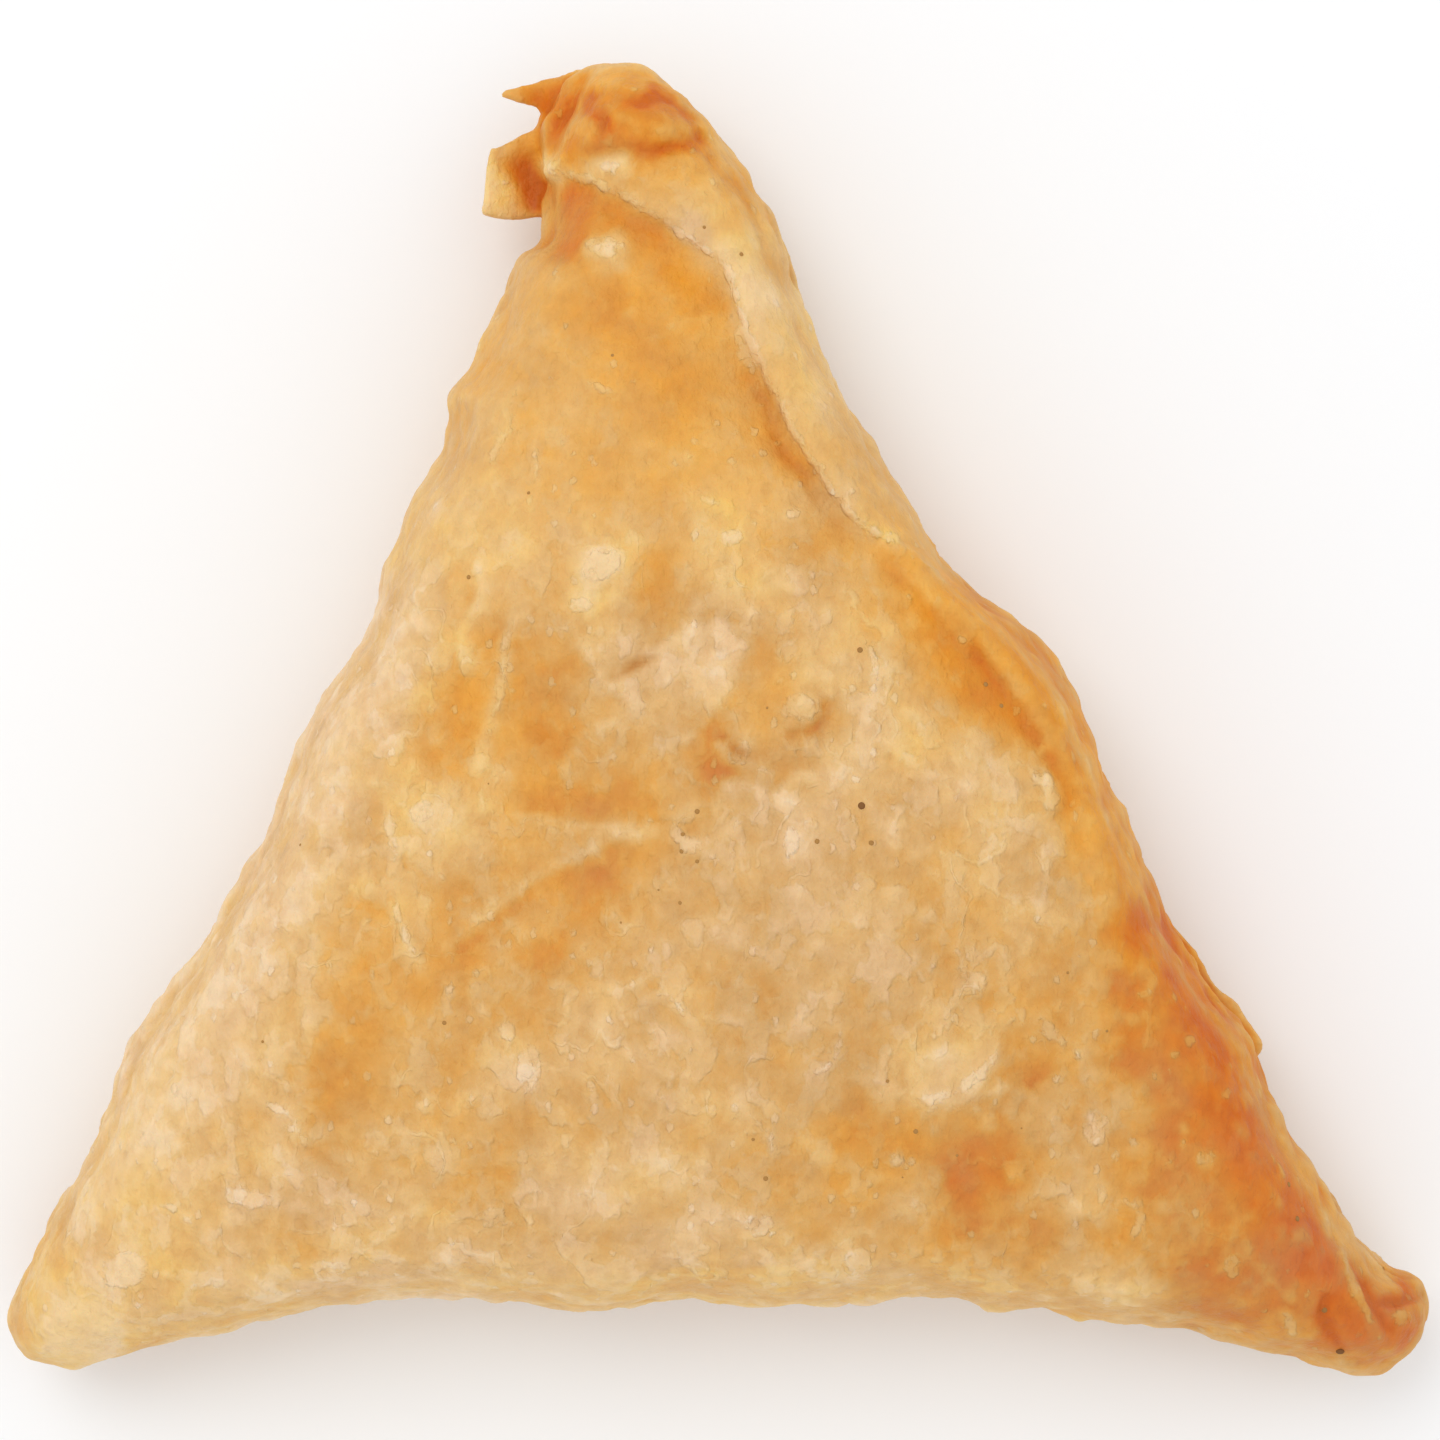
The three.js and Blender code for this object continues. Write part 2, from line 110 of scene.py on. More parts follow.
# The layers laid over the body, each between two edges.
SINK = 0.6  # how deep they reach into it
FOLD_EDGE = [
    (-12.2, 37.6), (-9.1, 36.5), (-5.3, 34.4), (-1.9, 32), (-0.3, 30.9), (1.2, 26.9), (3.9, 20.5),
    (7.2, 15.1), (10.1, 12.2), (14.6, 11.3),
]
FLAP_OUTER_EDGE = [
    (-12.5, 41.8), (-10.6, 44.3), (-7.6, 45), (-3.9, 43.5), (-0.1, 39.8), (3.3, 34.3), (6.2, 26),
    (11.8, 15.9), (14.9, 11.7),
]
VALLEY_DEPTH = 0.6
VALLEY_WIDTH = 2.6
ROLL_CREASE = [
    (10.1, 12.2), (13.8, 7.5), (17.7, 3.8), (20, 0.5), (22.8, -3.6), (24.4, -8.7), (25.2, -13.6),
]
ROLL_OUTER_EDGE = [
    (15.1, 11), (19.9, 6.7), (24.1, 2.3), (26.2, -3.6), (28.2, -8.3), (30.6, -13.4),
]
ROLL_CROWN = 1.7
ROLL_LIFT = 0.2
CAP_EDGE = [(-12.3, 37.4), (-9.6, 38.2), (-5.6, 38.3), (-2.7, 39.5), (0.0, 40.3)]
CAP_TOP = [(-12.6, 41.9), (-10.9, 44.5), (-8.2, 45.5), (-4.0, 44.0), (-0.7, 41.2)]
CAP_THICKNESS = 1.0
CAP_FOLDS = 3
CAP_FOLD_HEIGHT = 0.25
CAP_FOLD_TURN = 0.2
FREE_EDGE_SHARE = 0.35
FREE_EDGE_REACH = 0.25
HORN_UPPER = [(-8.6, 45.4), (-11.3, 45.1), (-14.0, 44.5), (-15.7, 44.0)]
HORN_LOWER = [(-8.9, 42.6), (-12.7, 42.6), (-14.3, 43.3), (-15.5, 43.7)]
TAB_UPPER = [(-10.6, 41.2), (-13.9, 41.0), (-14.9, 40.4), (-16.3, 40.0)]
TAB_LOWER = [(-10.8, 35.4), (-12.9, 35.3), (-14.5, 35.0), (-16.9, 35.2)]
LEDGE_INNER = [(29.8, -14.2), (33.0, -19.2), (36.6, -24.3)]
LEDGE_OUTER = [(31.2, -13.6), (34.4, -18.0), (38.2, -23.2)]
FLAKE_LEVEL = 6.1
HORN_CURL = 0.6
HORN_TIP_SHARE = 0.7
TAB_CURL = 1.4
TAB_ROOT_EXTRA = 0.5
UNDER_FLAP_EDGE = [(-23.6, -0.8), (-12.0, -4.6), (4.0, -10.8), (18.0, -18.2), (31.2, -24.4)]
UNDER_FLAP_TOP = [
    (-12.6, 25.4), (-8.6, 36), (-4.4, 37.2), (0.6, 28.2), (7.4, 14.8), (18.6, 2.2), (26.4, -13.6),
    (32.8, -23),
]
UNDER_FLAP_THICKNESS = 0.8

# ---- What frying did to the skin, and the light and shade painted on it ----

# The places below are as they look from VIEW_HEIGHT over the edge, where what stands higher than
# the edge looks further from the middle than it is.
VIEW_HEIGHT = 308.0
EDGE_LEVEL = 8.5

# Ridges that stand up from the skin: width, height, then the run of the crest.
RIDGES = [
    (0.7, 0.3, [(-14.2, 23), (-14.6, 21.9), (-14.7, 20.3), (-15.5, 19.4), (-16, 17.1), (-15.6, 16.1)]),
    (0.5, 0.42, [(0.3, -1), (0.2, -2.2), (0.8, -3.1), (1.9, -3), (2.2, -2.1)]),
    (0.5, 0.2, [(-12.6, 20.2), (-11.2, 20), (-11.1, 17.9), (-12.4, 17.8)]),
    (0.6, 0.22, [(-13, 20.3), (-12.9, 18.7), (-12.8, 16.2), (-13.4, 14.4)]),
    (0.9, 0.38, [(-14.4, 9.1), (-14.8, 7.2), (-15, 4.7), (-15.5, 2.5), (-16.2, -0.6), (-16.8, -3.2)]),
    (0.8, 0.34, [(-22.9, -11.2), (-22.6, -14.1), (-21.9, -15.9), (-21.1, -17.7)]),
    (0.8, 0.28, [(-23.4, -4.7), (-23.2, -8), (-22.9, -11.2)]),
    (0.6, 0.24, [(-18.8, -17.8), (-19, -19.4), (-19.3, -20.7)]),
    (0.8, 0.32, [(-1.9, -6.2), (-3.2, -7.4), (-2.6, -9), (-1, -9.8)]),
    (0.8, 0.26, [(0.2, -4.6), (1.2, -6.4), (0.6, -9.2), (2.4, -11.6)]),
    (0.9, 0.36, [(19.4, -21.5), (21.5, -21), (23.1, -22), (25.2, -23.7), (25.4, -25.4)]),
    (0.9, 0.34, [(19.4, -21.5), (19, -23.6), (17.2, -25.6), (14.4, -26.6), (11.8, -26)]),
    (0.7, 0.28, [(27.3, -33.2), (29.2, -34.5), (28.9, -36.1), (28.1, -38.2)]),
    (0.7, 0.26, [(26.2, -30.8), (26.5, -33), (26.4, -35.3)]),
    (0.8, 0.28, [(17, -14.8), (16.6, -18.2), (15.6, -21), (15.2, -23.8)]),
    (0.6, 0.26, [(7.6, -19.4), (8.4, -22.6), (7.4, -24.6), (5, -25.2)]),
    (0.6, 0.22, [(-1.4, -26.4), (1.6, -27.4), (3.4, -29.8), (2, -32)]),
    (0.6, 0.22, [(-6.2, -20.6), (-4, -19.4), (-2.6, -20.8), (-1.6, -23)]),
    (0.7, 0.24, [(-2.7, 16.2), (-1, 15.4), (0.6, 14.8)]),
    (0.6, 0.28, [(38.3, -30.1), (39.1, -31.4), (39.3, -32.4)]),
    (0.5, 0.22, [(38.5, -32.7), (38.9, -34.1)]),
    (0.8, 0.55, [(43.5, -37.6), (43.9, -38.9), (44.6, -40.3), (45.4, -41.7), (46.1, -43.3)]),
    (0.7, 0.3, [(-33, -26), (-30, -28), (-28.6, -31)]),
    (0.6, 0.22, [(-41, -33.6), (-38.2, -34.4), (-36, -36.8)]),
    (0.7, 0.24, [(9, 6.8), (10.6, 4), (10.8, 1.2)]),
]

# Torn edges of the outermost layer. The skin is browner to the right of the run, where the layer is
# gone, and has a painted highlight on the rim: how much browner, how far that reaches, then the run.
LAYER_EDGES = [
    (0.09, 3, [(-20.4, -17.6), (-15, -13.2), (-12.4, -11.1), (-9.6, -9.9), (-7.4, -8.6), (-3.9, -8.3)]),
    (0.07, 3, [(-3.9, -7.8), (-6.4, -7.5), (-9.6, -7.2), (-12.2, -6.7), (-15.4, -6.6)]),
    (0.1, 3, [(-10.7, 5.6), (-9.2, 3.6), (-8.2, 2.3), (-7.2, 1.6), (-6.6, -0.2)]),
    (0.1, 2, [(2, 6.6), (-0.4, 6.9), (-2.8, 6.2), (-4.6, 4.9), (-6.4, 4.8)]),
    (0.09, 1.8, [(-3, -3), (-1.8, -1.4), (-0.6, 0.2), (1, 3), (2.1, 6.2)]),
    (0.09, 1.7, [(7.4, -3.4), (5.2, -3.8), (3.4, -5.2), (2.2, -4.6), (0.4, -4.2), (-0.6, -5.6),
        (-0.8, -7.4)]),
    (0.09, 2.2, [(-17.6, 11.8), (-17, 8.8), (-18.4, 5.4), (-18.2, 2.2)]),
    (0.05, 2.4, [(12.4, -25.8), (16.2, -27.2), (19, -25), (19.6, -21.8)]),
]

# Grooves and closed folds, drawn dark, partly from their browning and partly as painted shade in the
# crease: width, depth, then the run.
GROOVES = [
    (0.45, 0.3, [(-0.8, 39.2), (0.8, 37.4), (1.9, 35.9), (2.8, 33.7), (3.1, 32.4), (4.4, 31)]),
    (0.4, 0.35, [(-9.1, 43.7), (-10, 42.6), (-11.3, 42)]), (0.4, 0.35, [(-8.4, 42.5), (-8.4, 40.7)]),
    (0.45, 0.28, [(-6.4, 43.3), (-3.6, 43.2), (-2.2, 42), (-1.8, 40.6)]),
    (0.5, 0.18, [(-10.5, 39.6), (-8.2, 40), (-5.9, 39.9), (-3.9, 39.7), (-1.9, 39.9)]),
    (0.55, 0.45, [(-13.4, 38.8), (-13.2, 37.4), (-13, 36)]),
    (0.5, 0.34, [(2.8, 22.5), (3.4, 21.2), (3.8, 19.9), (4.5, 18.6), (5.8, 17.2), (6.8, 15.4)]),
    (0.5, 0.16, [(15, 7.9), (17.2, 6.2), (18.3, 3.9), (19.5, 2.5), (20.6, 0.9), (22.1, -1.5)]),
    (0.45, 0.35, [(32.3, -15.9), (34.2, -18.6), (36.5, -21.8), (37.4, -23.6)]),
    (0.5, 0.5, [(44.6, -38.2), (45.4, -39.8), (46.1, -41.4), (46.8, -42.6)]),
    (0.5, 0.6, [(45.6, -40.9), (47.6, -40.6), (49.6, -40.2)]),
    (0.45, 0.4, [(42.3, -40.6), (42.2, -42.2), (43.2, -44)]),
    (0.4, 0.46, [(-7.4, 3), (-6.1, 3.8), (-4.8, 4.2)]),
    (0.4, 0.42, [(0.1, -1.3), (0.9, -2.3), (2.1, -2.5)]),
    (0.4, 0.28, [(5, -1.1), (6.6, -0.8), (7.3, 0.6), (6.8, 1.9)]),
    (0.4, 0.18, [(-26, -32.6), (-28.6, -30.4), (-31.6, -29.4)]),
]

# Blisters in known places: x, y, half length, half breadth, turn in degrees, height.
BLISTERS = [
    (-8.5, 10.6, 1.9, 1.5, 60, 0.6), (-9.9, 7.9, 1.2, 0.9, 0, 0.25), (-8.2, 33, 1.9, 0.9, 0, 0.4),
    (-7.7, 38.7, 1.1, 0.7, 10, 0.3), (-11.8, 38.6, 0.7, 1.1, 0, 0.3), (-8.4, 23.1, 1.7, 0.6, -20, 0.25),
    (1.5, 25.9, 1, 2.1, 20, 0.4), (0.7, 12.6, 1.2, 1, 0, 0.28), (5, 14.3, 1.1, 0.9, 0, 0.28),
    (5.4, 0.6, 1.8, 1.5, 0, 0.45), (1.5, -2.1, 1, 1, 0, 0.32), (-2.2, -8.9, 1.3, 1, 30, 0.35),
    (4.8, -8.6, 0.9, 1.9, -10, 0.32), (22.6, -5.2, 1.3, 2, 20, 0.4), (-21, -6.6, 1.5, 1.1, 0, 0.36),
    (-13.5, -24.6, 1.3, 2.6, 0, 0.3), (-15, -21.7, 1, 1.1, 0, 0.26), (17.5, -18.6, 1.6, 1.2, 0, 0.38),
    (26.2, -28.6, 1.4, 1.9, 0, 0.36), (12.7, -31, 1.1, 0.9, 0, 0.26), (9.6, -38, 1.3, 1.6, 0, 0.26),
    (2.6, -35.4, 1.5, 1.2, 0, 0.26), (-33, -33.4, 2.4, 1.2, -10, 0.28),
    (-27.5, -38.6, 1.7, 1.2, -15, 0.26), (-16, -35, 1.6, 1.2, 0, 0.26),
    (-41.8, -38.6, 2.2, 1.7, 10, 0.24), (35.7, -38.3, 1, 1.3, 25, 0.28),
    (39.7, -42.1, 1.4, 0.6, -50, 0.26), (34, -30.8, 1, 0.9, 0, 0.26), (47.7, -42, 1.1, 0.9, 0, 0.26),
    (-18.3, 22.5, 0.8, 0.6, 0, 0.25),
]
BEAD_HEIGHT = 0.42  # of a bead's radius
# Bead-sized ones: x, y, radius.
BEADS = [
    (-4.6, 26.6, 0.45), (3, 18.5, 0.4), (7.2, 17.7, 0.45), (5.6, 16.4, 0.45), (9.1, 15.9, 0.4),
    (-2.3, 18.2, 0.5), (4, 19.4, 0.45), (2.7, 22, 0.4), (-6.4, 28.6, 0.4), (-3.6, 29.4, 0.4),
    (-10.9, 27.6, 0.4), (30.2, -24.9, 0.55), (31.8, -23.4, 0.5), (32.7, -22.7, 0.6), (29.6, -19.2, 0.7),
    (33.9, -20.2, 0.5), (31.2, -31.1, 0.5), (33.9, -31.1, 0.6), (35.3, -26.3, 0.55), (32.3, -29.9, 0.55),
    (27, -40.6, 0.7), (-21.7, -21, 0.45), (-18.7, -16.8, 0.6), (-17.1, -17.8, 0.6), (-24.4, -18.6, 0.4),
    (13.2, 8.6, 0.5), (16.8, 5.6, 0.5), (22.4, 0.8, 0.5),
]
# Toasted specks and pin-prick pits in known places: x, y, radius.
SPECKS = [
    (9.9, -6, 0.3), (6.8, -8.5, 0.2), (10.6, -8.6, 0.22), (-1.6, -6.4, 0.2), (-2.6, -8, 0.18),
    (-2.7, -9.2, 0.18), (-1.6, -9.9, 0.16), (-2.8, -12.8, 0.15), (9.8, 4.9, 0.23), (18.6, 2.5, 0.2),
    (19.7, 1, 0.18), (43.4, -44.2, 0.36), (42.3, -41.3, 0.25), (40.4, -34.9, 0.24), (39.8, -32.5, 0.22),
    (13.7, -28.8, 0.2), (3.2, -32.1, 0.2), (-19.3, -21.2, 0.18), (-1.1, 34.5, 0.14), (1.5, 32.6, 0.18),
    (-13.4, 15.9, 0.14), (-17.6, 10, 0.18),
]
# BROWNED holds where the skin is darker than the rest and PALER where it is lighter: how much, how
# wide in millimetres, then the places or the run that it follows.
BROWNED = [
    (0.52, 4.6, [(-11.5, 42.6), (-8, 42.6), (-4, 41.8)]),
    (0.66, 0.5, [(-11.2, 42.8), (-9.4, 43.2), (-8.6, 42.6)]),
    (0.68, 0.6, [(-5.8, 42.6), (-4.6, 43.6), (-3.2, 43.4)]),
    (0.5, 0.9, [(-9.2, 40.6), (-6.4, 40.4), (-3.6, 40.2)]), (0.7, 0.5, [(-8.6, 42.6), (-8.4, 40.8)]),
    (0.29, 0.7, [(0.6, 39.4), (2.4, 36.8), (3.6, 33.8), (4.8, 30.6)]),
    (0.62, 2, [(-13.4, 38), (-13.3, 36.8)]), (0.4, 2.6, [(-10.6, 36.4), (-10.2, 33.6)]),
    (0.3, 2.2, [(-8, 35), (-5.6, 33.4), (-3.4, 31.2), (-1.8, 28.6)]),
    (0.25, 4, [(-8.4, 29), (-6, 26), (-3.2, 24.2)]),
    (0.14, 1.5, [(1.4, 23.6), (2.6, 21.4), (3.4, 19.4), (4.4, 17.8)]),
    (0.04, 5.5, [(-9.5, 19), (-3, 20)]), (0.14, 1.8, [(0.2, 37.4), (1, 35.6)]),
    (0.19, 2.1, [(-4.2, 8.2), (-4, 10.4)]), (0.25, 3, [(-14.8, 4.6), (-13.2, 1.4), (-11.6, -1.6)]),
    (0.17, 3.2, [(-9.6, -1.6), (-7, -3.8)]), (0.21, 2.7, [(-18.6, 1.8), (-18.4, 0), (-19.8, -3)]),
    (0.16, 2.6, [(-20.4, -19), (-17.4, -14.4), (-12.6, -12.8), (-8.6, -12.4), (-6.6, -12)]),
    (0.15, 2.2, [(-4.4, -5.8), (-8.6, -5.6), (-13, -5)]),
    (0.22, 3.2, [(-24.8, -14.4), (-25.4, -20.4), (-27, -24.6)]),
    (0.05, 2.2, [(-13.6, -8.2), (-8.6, -8.4)]), (0.06, 2.2, [(-16, -20.2)]), (0.06, 2, [(12.4, -4.2)]),
    (0.24, 2, [(-1.2, -0.2), (-0.4, -3.4)]), (0.1, 2, [(3.4, 4.6)]), (0.14, 2.3, [(4, 0.4), (4.2, -3.8)]),
    (0.22, 2, [(12.6, 9.8), (14.2, 7.8), (17.6, 3.8), (20.4, 0), (23, -3.8)]),
    (0.34, 2.6, [(15.6, 5), (17.4, 2.6), (19.6, -0.4)]),
    (0.37, 3.6, [(17.4, 7.4), (22.6, 2.4), (25.6, -4.6)]), (0.28, 2.8, [(26.8, -7.6), (28.6, -11)]),
    (0.64, 4, [(31, -14.6), (32.8, -17.6), (35.6, -23.4)]),
    (0.52, 4.4, [(33.6, -22.8), (36.6, -28.6), (39.4, -34)]),
    (0.34, 5.8, [(30, -20), (33, -29), (34, -37), (40, -42)]),
    (0.55, 4.2, [(40.6, -35), (41.4, -38.4), (43.8, -42), (47.4, -42.4)]),
    (0.22, 2.9, [(21.4, -24.8), (20.4, -28.4)]), (0.31, 2.2, [(-12.2, -16.8)]),
    (0.09, 2.8, [(24.6, -11), (24.6, -16.6)]), (0.1, 2.2, [(-8.2, -27.6)]), (0.1, 2.4, [(-19.2, -23.6)]),
    (0.16, 1.8, [(0, -39.8)]), (0.21, 3, [(9.4, -28.8), (12.4, -29.8)]), (0.1, 2.4, [(8, -35.4)]),
    (0.12, 2.8, [(24, -28.4), (28.2, -21.6)]), (0.1, 2.8, [(-4.6, -20.2), (4, -20.4)]),
    (0.07, 2.8, [(14.6, -13), (17.2, -19.4)]), (0.36, 3.2, [(16.8, -32.4), (20, -31.6)]),
    (0.1, 2.2, [(-27.6, -21.2), (-28, -25)]), (0.08, 1.6, [(-29.6, -36.6)]),
    (0.22, 3, [(27.4, -36.6), (31.4, -35.8)]), (0.2, 2, [(4.4, 12.2), (7, 11.6)]), (0.19, 2, [(12.4, 8)]),
    (0.16, 2, [(-3.8, 16)]), (0.24, 2.2, [(12.6, 4.4)]), (0.12, 2, [(3.8, -12.2), (0.2, -12.2)]),
    (0.14, 2.4, [(-12.8, 24.4)]), (0.12, 2.3, [(-16.4, -31.6), (-14.6, -34.4)]),
    (0.26, 2.8, [(16.4, -36.4), (22.4, -36.2)]), (0.62, 2, [(48, -40.2)]), (0.06, 2, [(-28, -40.2)]),
    (0.06, 1.8, [(4, -28)]), (0.11, 2.2, [(11, -24)]), (0.08, 1.5, [(4.2, 24.2)]),
    (0.2, 1.6, [(-7.8, 31.4)]), (0.37, 3.4, [(28.6, -19.4), (28.6, -23.6)]), (0.15, 2.6, [(24.6, -16.2)]),
    (0.05, 2.2, [(-36, -32.2)]), (0.05, 2, [(-43.8, -36)]), (0.13, 2.4, [(-31.6, -11), (-32.8, -14.4)]),
    (0.11, 1.8, [(-36.6, -24)]), (0.17, 1.5, [(-48.8, -43.4)]),
    (0.16, 0.7, [(7.4, 1), (7.3, -0.6), (6.2, -1.4)]), (0.13, 2.4, [(3.6, -32.2), (7.6, -32.4)]),
    (0.1, 2.6, [(-24.4, -7.6), (-28.4, -8.4)]),
]
PALER = [
    (0.35, 6, [(-24.5, 6), (-28.5, -1.5), (-33, -12), (-38.5, -22), (-42.5, -30)]),
    (0.4, 2.4, [(-24.2, 4.2)]), (0.43, 1.8, [(-39.8, -24.2)]), (0.24, 2, [(-47.8, -39.8)]),
    (0.4, 1.6, [(-24.6, -40.4), (-15, -40.2)]), (0.2, 3, [(-20.4, 16.6), (-22, 11.6), (-24, 7)]),
    (0.22, 6, [(-38, -33), (-42, -38.6)]), (0.56, 3.8, [(-44.8, -43)]),
    (0.1, 2.2, [(-38.4, -36.6), (-34.6, -28.6)]), (0.17, 2, [(-20.6, 3.8)]),
    (0.11, 2, [(-23, -2), (-24.8, -9)]),
    (0.33, 1.6, [(-38, -43.2), (-28, -41), (-19.6, -40.2), (-7.5, -41), (4, -41), (14, -40.4)]),
    (0.24, 0.6, [(-7.4, 42), (-6.4, 41.2)]), (0.24, 0.5, [(-9.6, 42), (-9.8, 41)]),
    (0.2, 0.5, [(-5.6, 44.2), (-4.4, 44.3)]), (0.18, 0.7, [(-10.4, 43.8), (-8.8, 44.5)]),
    (0.24, 0.9, [(-9.6, 45.3), (-6.4, 45.6), (-3.4, 44.4)]), (0.18, 0.7, [(-4.8, 41.3), (-2.8, 41.5)]),
    (0.66, 0.9, [(-8.4, 38.7), (-7.4, 38.8)]), (0.72, 0.9, [(-11.8, 38.6)]),
    (0.36, 0.9, [(-9, 33.1), (-7.5, 33)]), (0.2, 3.4, [(-36, -39.8), (-31, -39.6), (-24, -39.6)]),
    (0.35, 2.6, [(1, 32.2), (3, 29.6)]), (0.26, 3, [(3.4, 33), (5, 28), (7, 23.4)]),
    # The entry at (-8.6, 11) is a painted highlight on the largest blister's top.
    (0.25, 1.5, [(0.4, 40.2)]), (0.12, 2.6, [(-4.4, 37.6), (-1.8, 35.6)]), (0.44, 2, [(-8.6, 11)]),
    (0.28, 1.6, [(-9.4, 8.6)]), (0.17, 3, [(-17, 15.6), (-15.8, 8.2)]),
    (0.17, 2.6, [(-0.2, 14.2), (-0.2, 12.2), (2.8, 9)]), (0.2, 3.2, [(-6, 4.4), (-1, 4), (-3.4, 0.6)]),
    (0.26, 3.2, [(-19.8, -7.8), (-23.6, -4.6)]), (0.24, 3.4, [(8.4, 4.4), (11.6, 0.6), (9, -4)]),
    (0.22, 3, [(17.4, -3.4), (20.4, -4.6)]), (0.2, 3.6, [(6.2, -5.6), (4.6, -9.4)]),
    (0.36, 1.3, [(5, -5.6), (4.8, -9.8)]), (0.1, 1.6, [(5.4, 0.7)]),
    (0.14, 3.4, [(-24.6, -11), (-27.6, -15.6), (-31, -20), (-33, -25)]),
    (0.3, 2.6, [(13.8, -24.8), (16.8, -24.4)]), (0.17, 2.4, [(-15, -24.8), (-7, -24.2)]),
    (0.26, 2.8, [(-11.2, -33.2), (-4.2, -32.4)]), (0.17, 3, [(-4, -37), (1.8, -35.8)]),
    (0.09, 3.2, [(24.6, -32.6)]), (0.14, 2.6, [(-20, -38.6), (-6, -38.8), (6, -38.8), (20, -38.8)]),
    (0.18, 1.4, [(42.8, -34.6), (45.6, -37.2)]), (0.3, 0.9, [(33.4, -16.6), (36.2, -20.6), (38, -23.4)]),
    (0.52, 1.8, [(-15.4, 36.8)]), (0.15, 3.4, [(-32, -32.4), (-26.4, -35.4), (-20.4, -36.2)]),
    (0.26, 1.8, [(27.4, -40.4), (29.2, -40.8)]), (0.08, 2.8, [(20, -12.4), (20.4, -16)]),
    (0.1, 2.8, [(28.4, -24.4), (28.8, -27.4)]), (0.18, 2.3, [(0.2, -28.2)]), (0.1, 3, [(8.4, -16.2)]),
    (0.18, 2.4, [(-31.6, -28.4)]), (0.07, 2.4, [(5.4, -7.6)]), (0.13, 2.2, [(12, -8)]),
    (0.1, 1.8, [(-4, -12.6)]), (0.08, 1.8, [(0, -16.2)]), (0.18, 2.2, [(-8.2, -20.2)]),
    (0.22, 2.2, [(-36, -36.2)]), (0.08, 2.2, [(-20, -32)]), (0.3, 1.8, [(-20.2, 15.8)]),
    (0.07, 2.2, [(-3.6, 42.2)]), (0.09, 2.2, [(32, -24.4)]), (0.32, 2.4, [(-4, -32)]),
    (0.09, 2, [(-3.8, -28)]), (0.06, 2.2, [(-8.4, 23.8), (-11.8, 20.2)]), (0.06, 1.8, [(23.6, -8)]),
    (0.19, 3, [(-24.4, -11.8), (-27.8, -14)]), (0.1, 1.8, [(-12, -11.8), (-15, -13.2)]),
    (0.17, 0.7, [(-14.4, 9.1), (-15, 4.7), (-15.5, 2.5), (-16.2, -0.6), (-16.8, -3.2)]),
    (0.12, 0.7, [(-22.9, -11.2), (-22.6, -14.1), (-21.9, -15.9), (-21.1, -17.7)]),
]
# Where the skin has a pink or a yellow cast: how much (below 0 is yellow), how wide, then the places.
TINTED = [
    (-0.5, 4, [(-12, 43), (-4, 42), (0, 38.6)]), (-0.5, 8, [(-4, 27), (-3, 22), (-3.4, 19)]),
    (-0.2, 3.6, [(-18, 10), (-21, -1), (-23, -12), (-25, -20)]),
    (-0.36, 4.2, [(-13.4, 19), (-15, 12), (-16, 6), (-16.5, 2)]), (-0.9, 2.2, [(-12, 39.6)]),
    (-0.95, 2, [(20.6, 4), (24.2, 0)]), (0.5, 3, [(-36, -19), (-34, -25)]),
    (0.4, 4, [(-33, -32), (-27, -36), (-23, -40)]), (0.3, 3.4, [(22, -10), (24.6, -16), (26.4, -20)]),
    (-0.3, 3, [(8, -28.6)]), (-0.34, 3.6, [(0.6, 36), (2.8, 30), (4.6, 24)]), (-0.8, 2.4, [(-15.6, 37)]),
    (-0.3, 3, [(-12, 22.6)]), (-0.6, 2, [(-5, 33), (-2.2, 30.6), (-0.8, 28)]),
    (0.62, 4.4, [(-24, 8), (-28, 0), (-31, -8), (-34, -15)]), (0.4, 4, [(-36, -18), (-40, -24)]),
    (0.66, 7, [(7, -9), (4, -18), (8, -21)]), (0.44, 6, [(-5, -19), (-5, -31), (0, -35)]),
    (0.62, 3, [(-4.6, -16.4)]), (0.62, 4, [(-12, -33.4), (-6, -36)]),
    (0.4, 3.4, [(36, -39.8), (41, -40)]),
    (-0.6, 3.4, [(12.6, 12), (16.6, 7), (21.4, 1.8), (25, -4.4), (27, -8.6)]),
    (-0.6, 4, [(32, -15), (35.4, -22)]), (0.42, 5, [(25, -31), (27, -27)]),
    (-0.4, 3.4, [(-48, -41), (-45, -44)]), (0.2, 3.4, [(44, -40.4), (47, -42)]),
    (-0.4, 2.6, [(-5, -40), (3, -40)]), (0.34, 2.6, [(-2.2, 34)]), (0.68, 3.2, [(-5, 4.2), (0.6, 4.2)]),
    (0.9, 3.4, [(2.4, -6.6), (4.4, -10.4)]), (0.6, 2.4, [(-13.5, -24.8)]), (0.4, 2.4, [(6, 9.6)]),
]

# How finely curves are measured and the blank is built.
CURVE_STEPS = 24  # stretches between two given points of a curve
OUTLINE_STEPS = 640
FOLD_STEPS = 120
RUN_STEPS = 24
AROUND = 360
TOP_RINGS = 26
UNDER_RINGS = 14
UNDER_THINNING = 0.86  # the share of the under face's triangles that are merged into larger ones
FACING_DOWN = (0.1, 0.5)  # how far down a face looks where this thinning starts and where it is full
UNDER_EDGE = (0.8, 2.2)  # and how far under the edge line it lies, in mm
THINNING_BIAS = 1000
SMOOTHING_ROUNDS = 2
CHUNK = 4096  # places measured at a time, which saves memory

